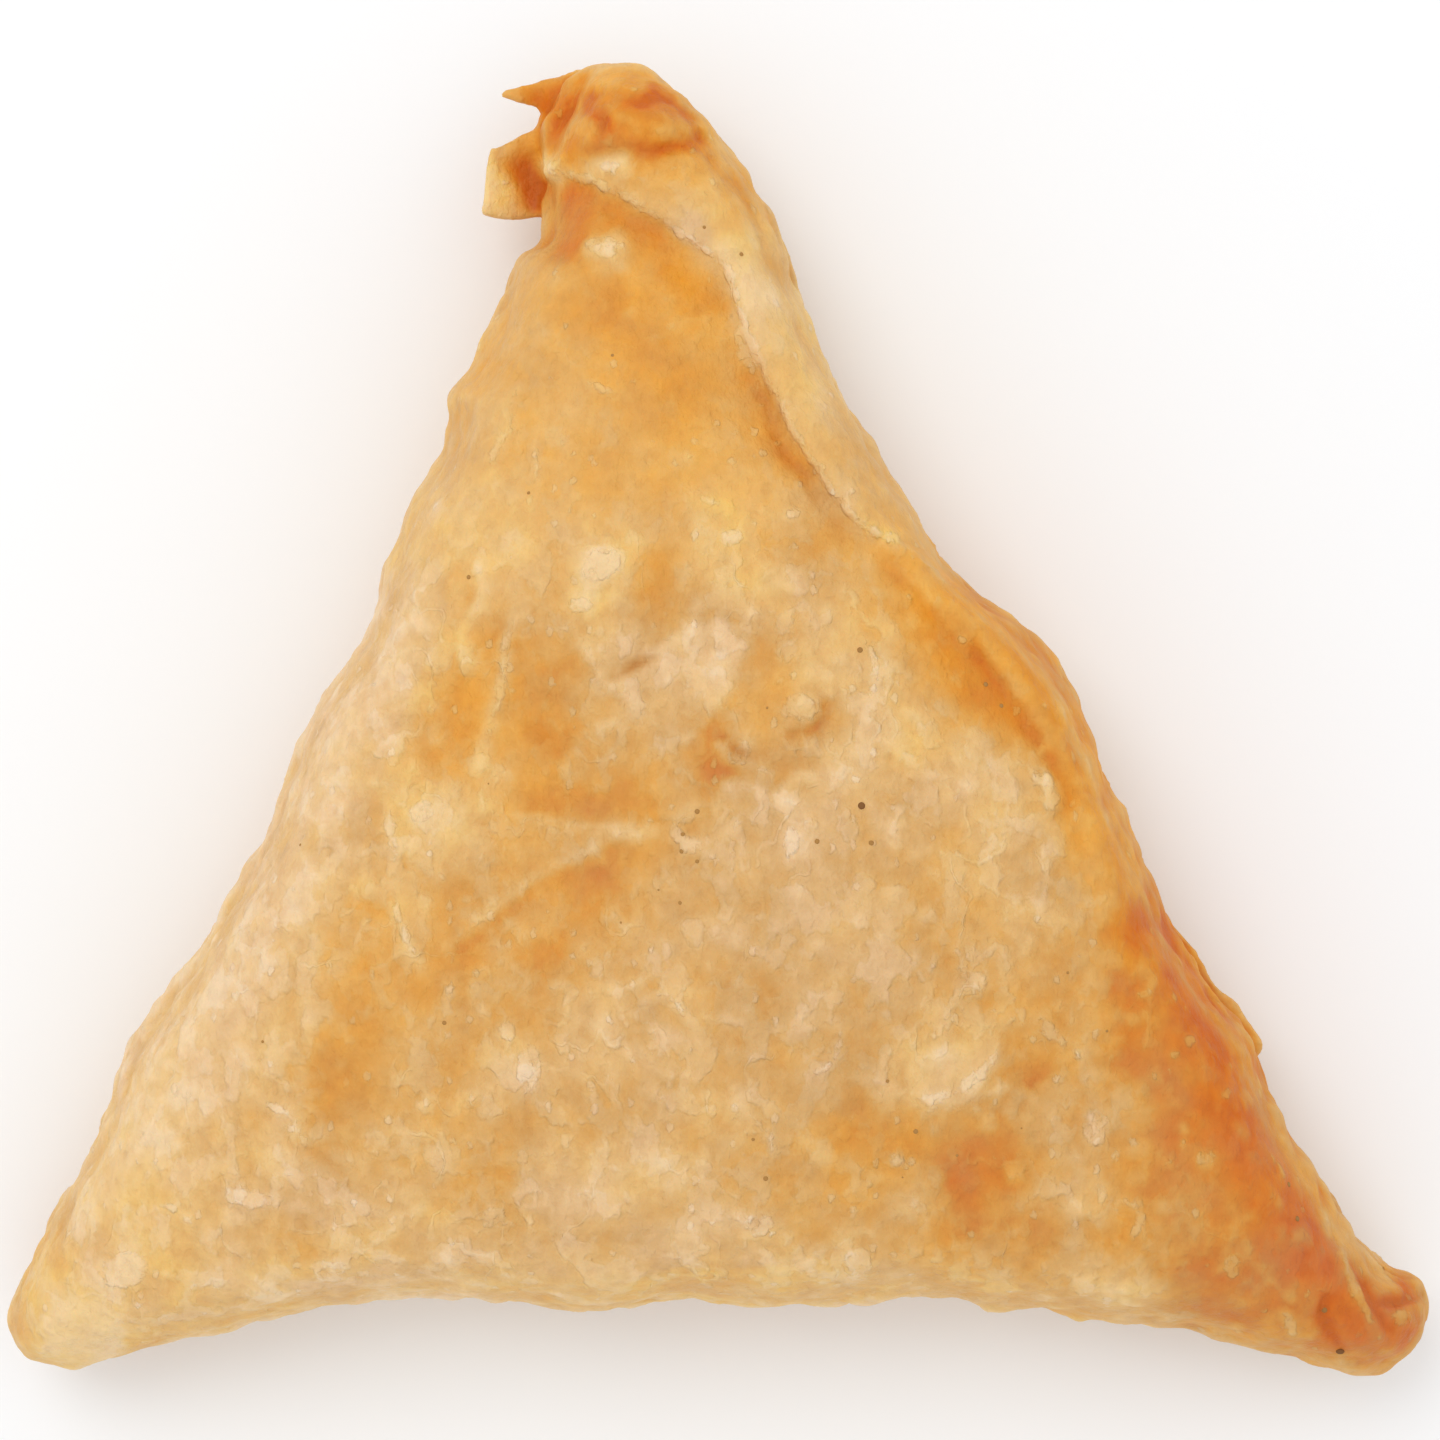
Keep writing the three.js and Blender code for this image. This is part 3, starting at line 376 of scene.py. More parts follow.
# The relief, in millimetres.
WARP_SEED = 1  # vector noise differs from run to run without a seed
RELIEF_WARPS = [(2.4, 0.7, 11), (0.9, 0.28, 13)]  # how far pushes lie apart, how far they go, seed
SMALL_WARPS = [(0.9, 0.2, 5)]
LARGE_BLISTERS = (6.0, 0.45, 3)  # how far apart, the share of places that have one, seed
MIDDLE_BLISTERS = (2.7, 0.5, 23)
SMALL_BLISTERS = (1.35, 0.5, 41)
SMALLEST_RADIUS = 0.26  # of how far apart they are
RADIUS_RANGE = 0.22
FOOT_WIDTH = 0.16
DOME_POWER = 0.8  # under 1, so that a blister is steeper at its foot than a parabola
MIDDLE_HEIGHT = 0.5  # of the large ones' height
SMALL_HEIGHT = 0.2
FOOT_DEPTH = 0.03  # the dip round a middle blister
SMALL_FOOT = 0.6  # of that dip, round a small one
SWELLS = [(0.22, 11, 2), (0.07, 4.2, 7)]  # height, how far apart, seed
RIPPLES = [(0.05, 1.4, 9)]
EDGE_WAVES = [(1, 1.9, 51), (1.5, 3.9, 57)]
CRINKLES = (4.5, 31)  # how far apart, seed
CRINKLE_WIDTH = 0.07
CRINKLE_HEIGHT = 0.09
KNOWN_BLISTER_SHARE = 0.6  # how much is used of the heights and widths in the tables above
RIDGE_SHARE = 0.6
RIDGE_NARROWING = 0.7
GROOVE_SHARE = 0.8
FULL_GROOVE = 0.32  # a groove this deep is as dark as any
LINE_LOOSENESS = 0.35  # how far the known lines follow the warps
LAYER_LOOSENESS = 0.6
LIT_CREST = 0.75  # painted highlight: how strong it is on the crest of the lowest ridge
LIT_RISE = 0.8  # and how much paler for each millimetre of height
LIT_NARROWING = 0.75
LAYER_STEP = 0.12  # height of a torn layer's edge
LIP_HEIGHT = 0.18  # of the flap's free edge
SEAMS = [(1.0, 61), (-0.5, 67)]  # height over the edge line, seed
SEAM_WIDTH = 0.26
SEAM_DEPTH = 0.28

# The browning: 0 is barely coloured dough and 1 the darkest. Pinkness goes from yellow to pink.
# The browning also carries painted shade in hollows and painted highlights on crests and tops.
PLAIN_BROWNING = 0.455
PLAIN_PINKNESS = 0.42
YELLOWEST = -0.6
LAYER_RIM_LIGHT = 0.10  # painted highlight: how much paler a torn layer's rim is made
SMOOTH_CALM = 0.6  # how much less blistered and mottled the skin is towards the tip
BROWN_CALM = 0.45  # and where it is browned most
BROWNING_WARPS = [(3.4, 1.0, 74), (1.3, 0.4, 75)]
DRIFT = [(0.04, 7.5, 71), (0.06, 3.1, 73)]  # how much, how far apart, seed
MOSAIC = [(0.07, 2.3, 77), (0.04, 1.1, 79)]
PINK_DRIFT = [(0.52, 4.8, 81), (0.42, 1.7, 83)]
UNDER_MOTTLE = [(0.16, 13, 89)]
FINE_UNDER_MOTTLE = [(0.08, 5, 91)]
FINE_ROUNDS = 6  # of smoothing, to measure hollows against
BROAD_ROUNDS = 40
FINE_HOLLOW_SHADE = 0.6  # painted shade: how much browner the colour is made for each millimetre of hollow
BROAD_HOLLOW_SHADE = 0.5
# Paler blister tops, partly a painted highlight, and a painted highlight on the flap's lip.
PALE_AND_LIT_MARKS = [(0.12, "tops"), (0.06, "small_tops"), (0.10, "lip")]
# Beside the flap's free edge the added browning is painted shade.
BROWN_MARKS = [(0.12, "groove"), (0.04, "flap_edge_shade"), (0.16, "seam")]
# Where the darker joint colour goes; in the grooves it is partly painted shade.
DARK_MARKS = [(0.24, "groove"), (0.22, "seam")]
UNDER_BROWNING = 0.18
CONTACT_BROWNING = 0.10
APEX = (-7, 41, 6)  # the flaky tip: x, y, reach


# ---- Settings ----


def length(name, default, description):
    """A setting in metres."""
    return FloatProperty(name=name, description=description, default=default, unit="LENGTH")


def colour_of(name, default, description):
    """A setting that is a colour."""
    return FloatVectorProperty(name=name, description=description, default=default, subtype="COLOR")


class SamosaForm(bpy.types.PropertyGroup):
    """The sizes of the parcel."""

    edge_height: length("Edge Height", 0.0094, "Height of the folded edge over the table at the middle")
    top_swell: length("Top Swell", 0.0125, "How far the filling lifts the upper face over the edge")
    under_swell: length(
        "Under Swell", 0.0088, "How far the filling pushes the lower face under the edge"
    )
    pastry_thickness: length("Pastry Thickness", 0.0012, "Thickness of one fried layer")
    mesh_cell: length("Mesh Cell", 0.00035, "Size of the cells that the upper face is meshed in")


class SamosaSkin(bpy.types.PropertyGroup):
    """The relief and colours that frying leaves on the pastry."""

    blister_height: length("Blister Height", 0.00020, "Height of the largest scattered blisters")
    scallop: length("Edge Scallops", 0.00035, "How far the fried edge waves in and out")
    roughness: FloatProperty(
        name="Roughness",
        description="Roughness of the drained, slightly oily skin",
        default=0.54,
        min=0,
        max=1,
        subtype="FACTOR",
    )
    speck_colour: colour_of(
        "Toasted Speck", (0.20, 0.088, 0.030), "Colour of the specks that toasted darkest"
    )
    speck_count: IntProperty(
        name="Specks",
        description="Scattered specks besides the ones in known places",
        default=14,
        min=0,
    )


class SamosaStage(bpy.types.PropertyGroup):
    """The table, the light and the camera."""

    floor_colour: colour_of("Table", (0.925, 0.935, 0.945), "Colour of the matt white table")
    camera_height: length(
        "Camera Height", 0.3165, "Height of the camera over the table, looking straight down"
    )
    key_power: FloatProperty(
        name="Key Light",
        description="Power of the large soft light at the upper left",
        default=1.50,
        unit="POWER",
    )
    fill_strength: FloatProperty(
        name="Fill Light",
        description="Strength of the even light from all round",
        default=0.92,
        min=0,
    )


# ---- Curves and distances in plan, in millimetres ----


def smooth_curve(points, count, closed=False):
    """Places spread evenly along a centripetal Catmull-Rom curve through the given points."""
    given = np.array(points, float)
    if closed:
        ring = np.vstack([given[-1:], given, given[:2]])
    else:
        ring = np.vstack([2 * given[0] - given[1], given, 2 * given[-1] - given[-2]])
    share = np.linspace(0, 1, CURVE_STEPS, endpoint=False)[:, None]
    stretches = []
    for p0, p1, p2, p3 in zip(ring, ring[1:], ring[2:], ring[3:]):
        t1 = np.linalg.norm(p1 - p0) ** 0.5
        t2 = t1 + np.linalg.norm(p2 - p1) ** 0.5
        t3 = t2 + np.linalg.norm(p3 - p2) ** 0.5
        t = t1 + (t2 - t1) * share
        a1 = ((t1 - t) * p0 + t * p1) / t1
        a2 = ((t2 - t) * p1 + (t - t1) * p2) / (t2 - t1)
        a3 = ((t3 - t) * p2 + (t - t2) * p3) / (t3 - t2)
        b1 = ((t2 - t) * a1 + t * a2) / t2
        b2 = ((t3 - t) * a2 + (t - t1) * a3) / (t3 - t1)
        stretches.append(((t2 - t) * b1 + (t - t1) * b2) / (t2 - t1))
    last = given[:1] if closed else given[-1:]
    line = np.vstack(stretches + [last])
    along = np.concatenate([[0], np.cumsum(np.linalg.norm(np.diff(line, axis=0), axis=1))])
    wanted = np.linspace(0, along[-1], count)
    return np.column_stack([np.interp(wanted, along, line[:, axis]) for axis in (0, 1)])


def nearest(line, plan):
    """The distance from each place to the nearest point of a line, and that point's number."""
    distances = []
    numbers = []
    for start in range(0, len(plan), CHUNK):
        part = plan[start : start + CHUNK]
        squares = ((part[:, None, :] - line[None, :, :]) ** 2).sum(2)
        best = squares.argmin(1)
        numbers.append(best)
        distances.append(np.sqrt(squares[np.arange(len(part)), best]))
    return np.concatenate(distances), np.concatenate(numbers)


def side_of(line, plan):
    """The distance to an open line, above 0 on its left and below 0 on its right."""
    distance, number = nearest(line, plan)
    before = line[np.maximum(number - 1, 0)]
    after = line[np.minimum(number + 1, len(line) - 1)]
    run = after - before
    way = plan - before
    turn = run[:, 0] * way[:, 1] - run[:, 1] * way[:, 0]
    return distance * np.sign(turn)


def smooth_step(low, high, value):
    share = np.clip((value - low) / (high - low), 0, 1)
    return share * share * (3 - 2 * share)


def bump(distance, width):
    """1 at no distance, falling off over about the width."""
    return np.exp(-((distance / width) ** 2))


rim = smooth_curve(OUTLINE, OUTLINE_STEPS, closed=True)
fold_line = smooth_curve(FOLD_EDGE, FOLD_STEPS)


# ---- The two faces of the filled parcel ----


def inside_side(start, end, plan):
    """The distance of each place inside a straight side, SIDE_OFFSET out from its ends."""
    run = np.array(end) - np.array(start)
    way = plan - np.array(start)
    across = run[0] * way[:, 1] - run[1] * way[:, 0]
    return np.maximum(0, across / np.hypot(*run) + SIDE_OFFSET)


class Parcel:
    """The heights of the parcel's upper and lower faces, in millimetres, for places in plan."""

    def __init__(self, form):
        self.edge_height = form.edge_height / MM
        self.top_swell = form.top_swell / MM
        self.under_swell = form.under_swell / MM
        self.layer = form.pastry_thickness / MM

    def edge(self, plan):
        reach = np.hypot(plan[:, 0] - MIDDLE[0], plan[:, 1] - MIDDLE[1]) / SAG_REACH
        return self.edge_height - EDGE_SAG * reach**2

    def rounding(self, plan):
        inward = np.clip(nearest(rim, plan)[0] / EDGE_ROUNDING, 0, 1)
        return np.sqrt(1 - (1 - inward) ** 2)

    def swell(self, plan):
        left = inside_side(LEFT_SIDE[0], LEFT_SIDE[-1], plan)
        right = inside_side(RIGHT_LOBE[-1], RIGHT_SIDE[-1], plan)
        base = np.maximum(0, plan[:, 1] - BASE_LINE + BASE_DROP * (plan[:, 0] / BASE_REACH) ** 2)
        share = (left * right * base / FULL_SWELL_DISTANCE**3) ** SWELL_POWER
        return np.tanh(CROWN_FLATNESS * share) / math.tanh(CROWN_FLATNESS)

    def top(self, plan):
        body = EDGE_HALF_THICKNESS + self.top_swell * self.swell(plan)
        return self.edge(plan) + self.rounding(plan) * body

    def under(self, plan):
        body = EDGE_HALF_THICKNESS + self.under_swell * self.swell(plan)
        return np.maximum(0, self.edge(plan) - self.rounding(plan) * body)


# ---- Building the blank ----


def places_of(mesh):
    places = np.empty(len(mesh.vertices) * 3)
    mesh.vertices.foreach_get("co", places)
    return places.reshape(-1, 3)


def set_places(mesh, places):
    mesh.vertices.foreach_set("co", places.ravel())
    mesh.update()


def mesh_of(bm, name):
    """A bmesh as a new mesh, and the bmesh is freed."""
    mesh = bpy.data.meshes.new(name)
    bm.to_mesh(mesh)
    bm.free()
    return mesh


def body_blank(parcel):
    """A sphere whose upper rings spread over the upper face and its lower ones over the lower."""
    rings = TOP_RINGS + UNDER_RINGS
    bm = bmesh.new()
    bmesh.ops.create_uvsphere(bm, u_segments=AROUND, v_segments=rings, radius=1)
    mesh = mesh_of(bm, "blank_body")
    sphere = places_of(mesh)
    ring = np.arccos(np.clip(sphere[:, 2], -1, 1)) / math.pi * rings
    is_top = ring < TOP_RINGS + 0.5
    inward = np.where(is_top, ring / TOP_RINGS, (rings - ring) / UNDER_RINGS)
    reach = np.sin(np.clip(inward, 0, 1) * math.pi / 2)[:, None]
    turn = np.mod(np.arctan2(sphere[:, 1], sphere[:, 0]) / (2 * math.pi), 1) * (OUTLINE_STEPS - 1)
    numbers = np.arange(OUTLINE_STEPS)
    edge = np.column_stack([np.interp(turn, numbers, rim[:, axis]) for axis in (0, 1)])
    plan = MIDDLE * (1 - reach) + edge * reach
    height = np.where(is_top, parcel.top(plan), parcel.under(plan))
    set_places(mesh, np.column_stack([plan, height]))
    return mesh


def layer_blank(near, far, along, across, upper, lower):
    """A thin slab between two edges. upper and lower give its heights from u, v and the plan."""
    bm = bmesh.new()
    bmesh.ops.create_grid(bm, x_segments=along, y_segments=across, size=0.5)
    bmesh.ops.solidify(bm, geom=bm.faces[:], thickness=1)
    mesh = mesh_of(bm, "blank_layer")
    slab = places_of(mesh)
    u = slab[:, 0] + 0.5
    v = (slab[:, 1] + 0.5)[:, None]
    shares = np.linspace(0, 1, FOLD_STEPS)
    lines = [smooth_curve(points, FOLD_STEPS) for points in (near, far)]
    first, second = [
        np.column_stack([np.interp(u, shares, line[:, axis]) for axis in (0, 1)]) for line in lines
    ]
    plan = first * (1 - v) + second * v
    is_upper = slab[:, 2] > slab[:, 2].mean()
    height = np.where(is_upper, upper(u, v[:, 0], plan), lower(u, v[:, 0], plan))
    set_places(mesh, np.column_stack([plan, height]))
    return mesh


def free_edge(v):
    """Thin at the free edge, v = 0, and full once FREE_EDGE_REACH is passed."""
    full = np.sin(math.pi / 2 * np.minimum(1, v / FREE_EDGE_REACH))
    return FREE_EDGE_SHARE + (1 - FREE_EDGE_SHARE) * full


def layer_blanks(parcel):
    """The flap, the rolled edge, the cap, the flake, the tab, the ledge and the under flap."""
    layer = parcel.layer

    def sunk(u, v, plan):
        return parcel.top(plan) - SINK

    def flap(u, v, plan):
        return parcel.top(plan) + layer * free_edge(v)

    def roll(u, v, plan):
        crown = ROLL_CROWN * (1 - u**3) * np.sin(math.pi * v)
        return parcel.top(plan) + ROLL_LIFT + crown

    def cap(u, v, plan):
        folds = CAP_FOLD_HEIGHT * np.sin(CAP_FOLDS * math.pi * (v + CAP_FOLD_TURN * u)) ** 2
        return parcel.top(plan) + (layer + CAP_THICKNESS) * free_edge(v) + folds

    def loose(near, far, along, across, curl, tip_share, root_extra):
        """A flake that stands off the side and curls up towards its tip, u = 1."""

        def lower(u, v, plan):
            return FLAKE_LEVEL + curl * u**2

        def upper(u, v, plan):
            return lower(u, v, plan) + layer * (1 + (tip_share - 1) * u) + root_extra * (1 - u)

        return layer_blank(near, far, along, across, upper, lower)

    def under_root(u, v, plan):
        return parcel.under(plan) + SINK

    def under_flap(u, v, plan):
        return np.maximum(0, parcel.under(plan) - UNDER_FLAP_THICKNESS * free_edge(v))

    return [
        layer_blank(FOLD_EDGE, FLAP_OUTER_EDGE, 90, 14, flap, sunk),
        layer_blank(ROLL_CREASE, ROLL_OUTER_EDGE, 60, 12, roll, sunk),
        layer_blank(CAP_EDGE, CAP_TOP, 30, 24, cap, sunk),
        loose(HORN_UPPER, HORN_LOWER, 16, 6, HORN_CURL, HORN_TIP_SHARE, 0),
        loose(TAB_UPPER, TAB_LOWER, 14, 10, TAB_CURL, 1, TAB_ROOT_EXTRA),
        loose(LEDGE_INNER, LEDGE_OUTER, 20, 3, 0, 1, 0),
        layer_blank(UNDER_FLAP_EDGE, UNDER_FLAP_TOP, 80, 24, under_root, under_flap),
    ]


def put(name, data):
    """A new object in the scene."""
    made = bpy.data.objects.new(name, data)
    bpy.context.scene.collection.objects.link(made)
    return made


def joined(meshes):
    """Closed meshes as one bmesh, with their faces turned outwards."""
    bm = bmesh.new()
    for mesh in meshes:
        bm.from_mesh(mesh)
        bpy.data.meshes.remove(mesh)
    bmesh.ops.recalc_face_normals(bm, faces=bm.faces[:])
    return bm


def with_modifier(mesh, kind, settings, weights=None):
    """The mesh after one modifier, which replaces it. weights are a vertex group named "where"."""
    blank = put("blank", mesh)
    if weights is not None:
        group = blank.vertex_groups.new(name="where")
        for number in np.flatnonzero(weights).tolist():
            group.add([number], weights[number], "REPLACE")
    modifier = blank.modifiers.new(kind.title(), kind)
    for name, value in settings.items():
        setattr(modifier, name, value)
    graph = bpy.context.evaluated_depsgraph_get()
    made = bpy.data.meshes.new_from_object(blank.evaluated_get(graph))
    bpy.data.objects.remove(blank)
    bpy.data.meshes.remove(mesh)
    return made


def fused(bm, cell):
    """The closed pieces of a bmesh made one skin, meshed in cells of the given size."""
    return with_modifier(mesh_of(bm, "blank"), "REMESH", {"mode": "VOXEL", "voxel_size": cell})


def thinned(mesh, parcel):
    """The mesh with larger triangles where little shows: underneath, under the edge."""
    normals = normals_of(mesh)
    places = places_of(mesh)
    level = places[:, 2] - parcel.edge(places[:, :2])
    weights = smooth_step(*FACING_DOWN, -normals[:, 2]) * smooth_step(*UNDER_EDGE, -level)
    ratio = 1 - UNDER_THINNING * np.count_nonzero(weights > 0.5) / len(weights)
    settings = {"ratio": ratio, "vertex_group": "where", "vertex_group_factor": THINNING_BIAS}
    return with_modifier(mesh, "DECIMATE", settings, weights)


def without_scraps(bm):
    """Takes away loose scraps that meshing has cut off thin places, and keeps the largest piece."""
    left = set(bm.verts)
    pieces = []
    while left:
        found = {left.pop()}
        front = list(found)
        while front:
            vert = front.pop()
            for edge in vert.link_edges:
                other = edge.other_vert(vert)
                if other in left:
                    left.remove(other)
                    found.add(other)
                    front.append(other)
        pieces.append(found)
    pieces.sort(key=len)
    for scrap in pieces[:-1]:
        bmesh.ops.delete(bm, geom=list(scrap), context="VERTS")


def softened(mesh, rounds):
    """The mesh with its steps between cells smoothed out."""
    bm = bmesh.new()
    bm.from_mesh(mesh)
    without_scraps(bm)
    for _ in range(rounds):
        bmesh.ops.smooth_vert(
            bm, verts=bm.verts[:], factor=0.5, use_axis_x=True, use_axis_y=True, use_axis_z=True
        )
    bm.to_mesh(mesh)
    bm.free()
    return mesh


# ---- Noise over places, in millimetres ----


def noise_at(places, spacing, seed):
    """Soft noise from -1 to 1 whose lumps lie about `spacing` apart."""
    return np.array([noise.noise(Vector(p)) for p in (places / spacing + seed).tolist()])


def noises(places, layers):
    """Layers of soft noise added up. A layer is (amount, spacing, seed)."""
    return sum(amount * noise_at(places, spacing, seed) for amount, spacing, seed in layers)


def warped(places, warps):
    """The places moved about by noise, so that what follows isn't regular."""
    for spacing, amount, seed in warps:
        pushes = [noise.noise_vector(Vector(p))[:] for p in (places / spacing + seed).tolist()]
        places = places + amount * np.array(pushes)
    return places


def cells_at(places, spacing, seed):
    """For the nearest and second nearest of points scattered `spacing` apart: the distances in
    millimetres, and two random numbers from 0 to 1 that belong to the nearest."""
    rows = []
    for place in (places / spacing + seed).tolist():
        distances, points = noise.voronoi(Vector(place))
        luck = noise.cell_vector(points[0] * 97)
        rows.append((distances[0], distances[1], luck[0], luck[1]))
    table = np.array(rows)
    table[:, :2] *= spacing
    return table.T


def domes(places, spacing, share, seed):
    """Blisters scattered `spacing` apart: how much of its height each has here, and its foot.
    `share` of the possible places have one."""
    near, _, luck, size = cells_at(places, spacing, seed)
    radius = spacing * (SMALLEST_RADIUS + RADIUS_RANGE * size)
    present = smooth_step(0, 0.12, share - luck)
    dome = present * np.clip(1 - (near / radius) ** 2, 0, 1) ** DOME_POWER
    foot = present * bump(near - radius, FOOT_WIDTH * spacing)
    return dome, foot


# ---- The relief, the browning and the painted light and shade ----


def run_field(plan, entries, profile):
    """The strongest of several runs at each place. An entry is (strength, width, run)."""
    field = np.zeros(len(plan))
    for strength, width, run in entries:
        if len(run) == 1:
            distance = np.hypot(*(plan - np.array(run[0])).T)
            along = np.full(len(plan), 0.5)
        else:
            line = smooth_curve(run, RUN_STEPS)
            distance, number = nearest(line, plan)
            along = number / (RUN_STEPS - 1)
        part = abs(strength) * profile(distance, width, along)
        field = np.where(part > np.abs(field), math.copysign(1, strength) * part, field)
    return field


def crest(distance, width, along):
    """A line's profile, fading at both ends."""
    return bump(distance, width) * np.sin(math.pi * np.clip(along, 0.12, 0.88)) ** 0.5


def patch(distance, width, along):
    return bump(distance, width)


def blister_field(plan):
    """The heights of the blisters in known places, and how much of a blister's top each place is."""
    lift = np.zeros(len(plan))
    tops = np.zeros(len(plan))
    beads = [(x, y, radius, radius, 0, BEAD_HEIGHT * radius) for x, y, radius in BEADS]
    for x, y, half_length, half_breadth, turn, height in BLISTERS + beads:
        angle = math.radians(turn)
        way = plan - np.array([x, y])
        along = way[:, 0] * math.cos(angle) + way[:, 1] * math.sin(angle)
        across = way[:, 1] * math.cos(angle) - way[:, 0] * math.sin(angle)
        reach = (along / half_length) ** 2 + (across / half_breadth) ** 2
        dome = np.clip(1 - reach, 0, 1) ** DOME_POWER
        lift += height * dome
        tops = np.maximum(tops, smooth_step(0, 0.75, dome))
    return lift, tops


def neighbour_sums(mesh):
    """The two ends of each edge, and how many neighbours each vertex has."""
    ends = np.empty(len(mesh.edges) * 2, np.int32)
    mesh.edges.foreach_get("vertices", ends)
    ends = ends.reshape(-1, 2)
    count = np.bincount(ends.ravel(), minlength=len(mesh.vertices))
    return ends, np.maximum(count, 1)


def blurred(values, ends, count, rounds):
    """Values at the vertices averaged with their neighbours, several times over."""
    total = len(values)
    for _ in range(rounds):
        sums = np.bincount(ends[:, 0], values[ends[:, 1]], total)
        sums += np.bincount(ends[:, 1], values[ends[:, 0]], total)
        values = 0.5 * values + 0.5 * sums / count
    return values


def normals_of(mesh):
    normals = np.empty(len(mesh.vertices) * 3)
    mesh.vertices.foreach_get("normal", normals)
    return normals.reshape(-1, 3)


def spread(height):
    """How many times further from the middle a place looks than it is."""
    return VIEW_HEIGHT / (VIEW_HEIGHT + EDGE_LEVEL - height)


class Skin:
    """Gives the blank its relief, and works out the browning and painted shading from the same blisters
    and folds.
    """

    def __init__(self, mesh, parcel, settings):
        self.mesh = mesh
        self.parcel = parcel
        self.blister_height = settings.blister_height / MM
        self.scallop = settings.scallop / MM
        self.ends, self.count = neighbour_sums(mesh)

    def raise_filling(self):
        """The lumps of the filling, and the valley beside the flap's free edge."""
        places = places_of(self.mesh)
        plan = places[:, :2]
        height = -VALLEY_DEPTH * bump(nearest(fold_line, plan)[0], VALLEY_WIDTH)
        for x, y, radius, lift in LUMPS_AND_DENTS:
            height += lift * bump(np.hypot(plan[:, 0] - x, plan[:, 1] - y), radius)
        is_top = smooth_step(-0.4, 1.0, places[:, 2] - self.parcel.edge(plan))
        places[:, 2] += is_top * self.parcel.rounding(plan) * height
        set_places(self.mesh, places)

    def measure(self):
        """The masks that the relief and the browning share."""
        self.places = places_of(self.mesh)
        self.normals = normals_of(self.mesh)
        self.plan = self.places[:, :2]
        self.spread = spread(self.places[:, 2:])
        self.inward = nearest(rim, self.plan)[0]
        self.top = smooth_step(0.15, 0.55, self.normals[:, 2])
        self.under = smooth_step(0.15, 0.55, -self.normals[:, 2])
        self.side = 1 - np.maximum(self.top, self.under)
        self.free = smooth_step(0.02, 0.8, self.places[:, 2])  # 0 where it rests on the table
        self.fold = side_of(fold_line, self.plan)
        self.busy = 1 - SMOOTH_CALM * smooth_step(6, 16, self.plan[:, 1])

    def drawn(self, loose, share):
        """The plan as it looks from above, in part moved about as the loose places are."""
        return self.spread * (share * loose[:, :2] + (1 - share) * self.plan)

    def add_relief(self):
        self.measure()
        loose = warped(self.places, RELIEF_WARPS)
        large, _ = domes(loose, *LARGE_BLISTERS)
        middle, middle_foot = domes(loose, *MIDDLE_BLISTERS)
        small, small_foot = domes(warped(self.places, SMALL_WARPS), *SMALL_BLISTERS)
        lift = noises(self.places, SWELLS) + noises(loose, RIPPLES)
        heights = large + MIDDLE_HEIGHT * middle + SMALL_HEIGHT * small
        lift += self.busy * self.blister_height * heights
        lift -= self.busy * FOOT_DEPTH * (middle_foot + SMALL_FOOT * small_foot)
        crinkle = 1 - np.abs(noise_at(loose, *CRINKLES)) / CRINKLE_WIDTH
        crinkle = np.clip(crinkle, 0, 1) * smooth_step(0.05, 0.3, noise_at(self.places, 3.2, 37))
        lift += CRINKLE_HEIGHT * crinkle
        drawn = self.drawn(loose, LINE_LOOSENESS)
        known, known_tops = blister_field(drawn)
        raised = [(RIDGE_SHARE * h, RIDGE_NARROWING * w, run) for w, h, run in RIDGES]
        lit_crests = [(LIT_CREST + LIT_RISE * h, LIT_NARROWING * w, run) for w, h, run in RIDGES]
        sunk = [(GROOVE_SHARE * d, w, run) for w, d, run in GROOVES]
        ridges, lines, grooves = [run_field(drawn, runs, crest) for runs in (raised, lit_crests, sunk)]
        # self.bared also holds the painted highlight on each torn rim.
        step, self.bared = self.layer_edges(self.drawn(loose, LAYER_LOOSENESS))
        lift += self.top * (KNOWN_BLISTER_SHARE * known + ridges - grooves + step)
        # Painted highlight on ridge crests and blister tops, stronger the higher a crest stands.
        self.raised = self.top * np.maximum(np.minimum(1, lines), 0.9 * known_tops)
        self.groove = self.top * grooves / FULL_GROOVE
        self.tops = 0.8 * self.busy * np.maximum(large, middle)
        self.small_tops = self.busy * small
        lift += self.flap_relief() + self.rim_relief()
        flat_underside = np.minimum(0, lift) + np.maximum(0, lift) * self.free
        lift = np.where(self.places[:, 2] < 0.8, flat_underside, lift)
        moved = self.places + self.normals * lift[:, None]
        moved[:, 2] = np.maximum(moved[:, 2], 0)
        set_places(self.mesh, moved)

    def layer_edges(self, drawn):
        """The small steps where the outermost layer is torn, and how much browner each place is."""
        step = np.zeros(len(drawn))
        shade = np.zeros(len(drawn))
        for strength, reach, run in LAYER_EDGES:
            line = smooth_curve(run, FOLD_STEPS)
            along = nearest(line, drawn)[1] / (FOLD_STEPS - 1)
            present = smooth_step(0, 0.15, along) * smooth_step(0, 0.15, 1 - along)
            away = side_of(line, drawn)
            bared = smooth_step(-0.15, 0.15, -away)
            # Painted highlight along the rim of each torn layer.
            rim_light = LAYER_RIM_LIGHT * bump(away - 0.3, 0.35)
            shade += present * (strength * bared * bump(away, reach) - rim_light)
            step += present * LAYER_STEP * (1 - bared) * bump(away, 1.5)
        return step, shade

    def flap_relief(self):
        """The flap's free edge is a rounded lip, and the roll swells beside its crease."""
        on_flap = smooth_step(-0.2, 0.4, self.fold)
        lip = LIP_HEIGHT * bump(self.fold - 0.6, 0.55)
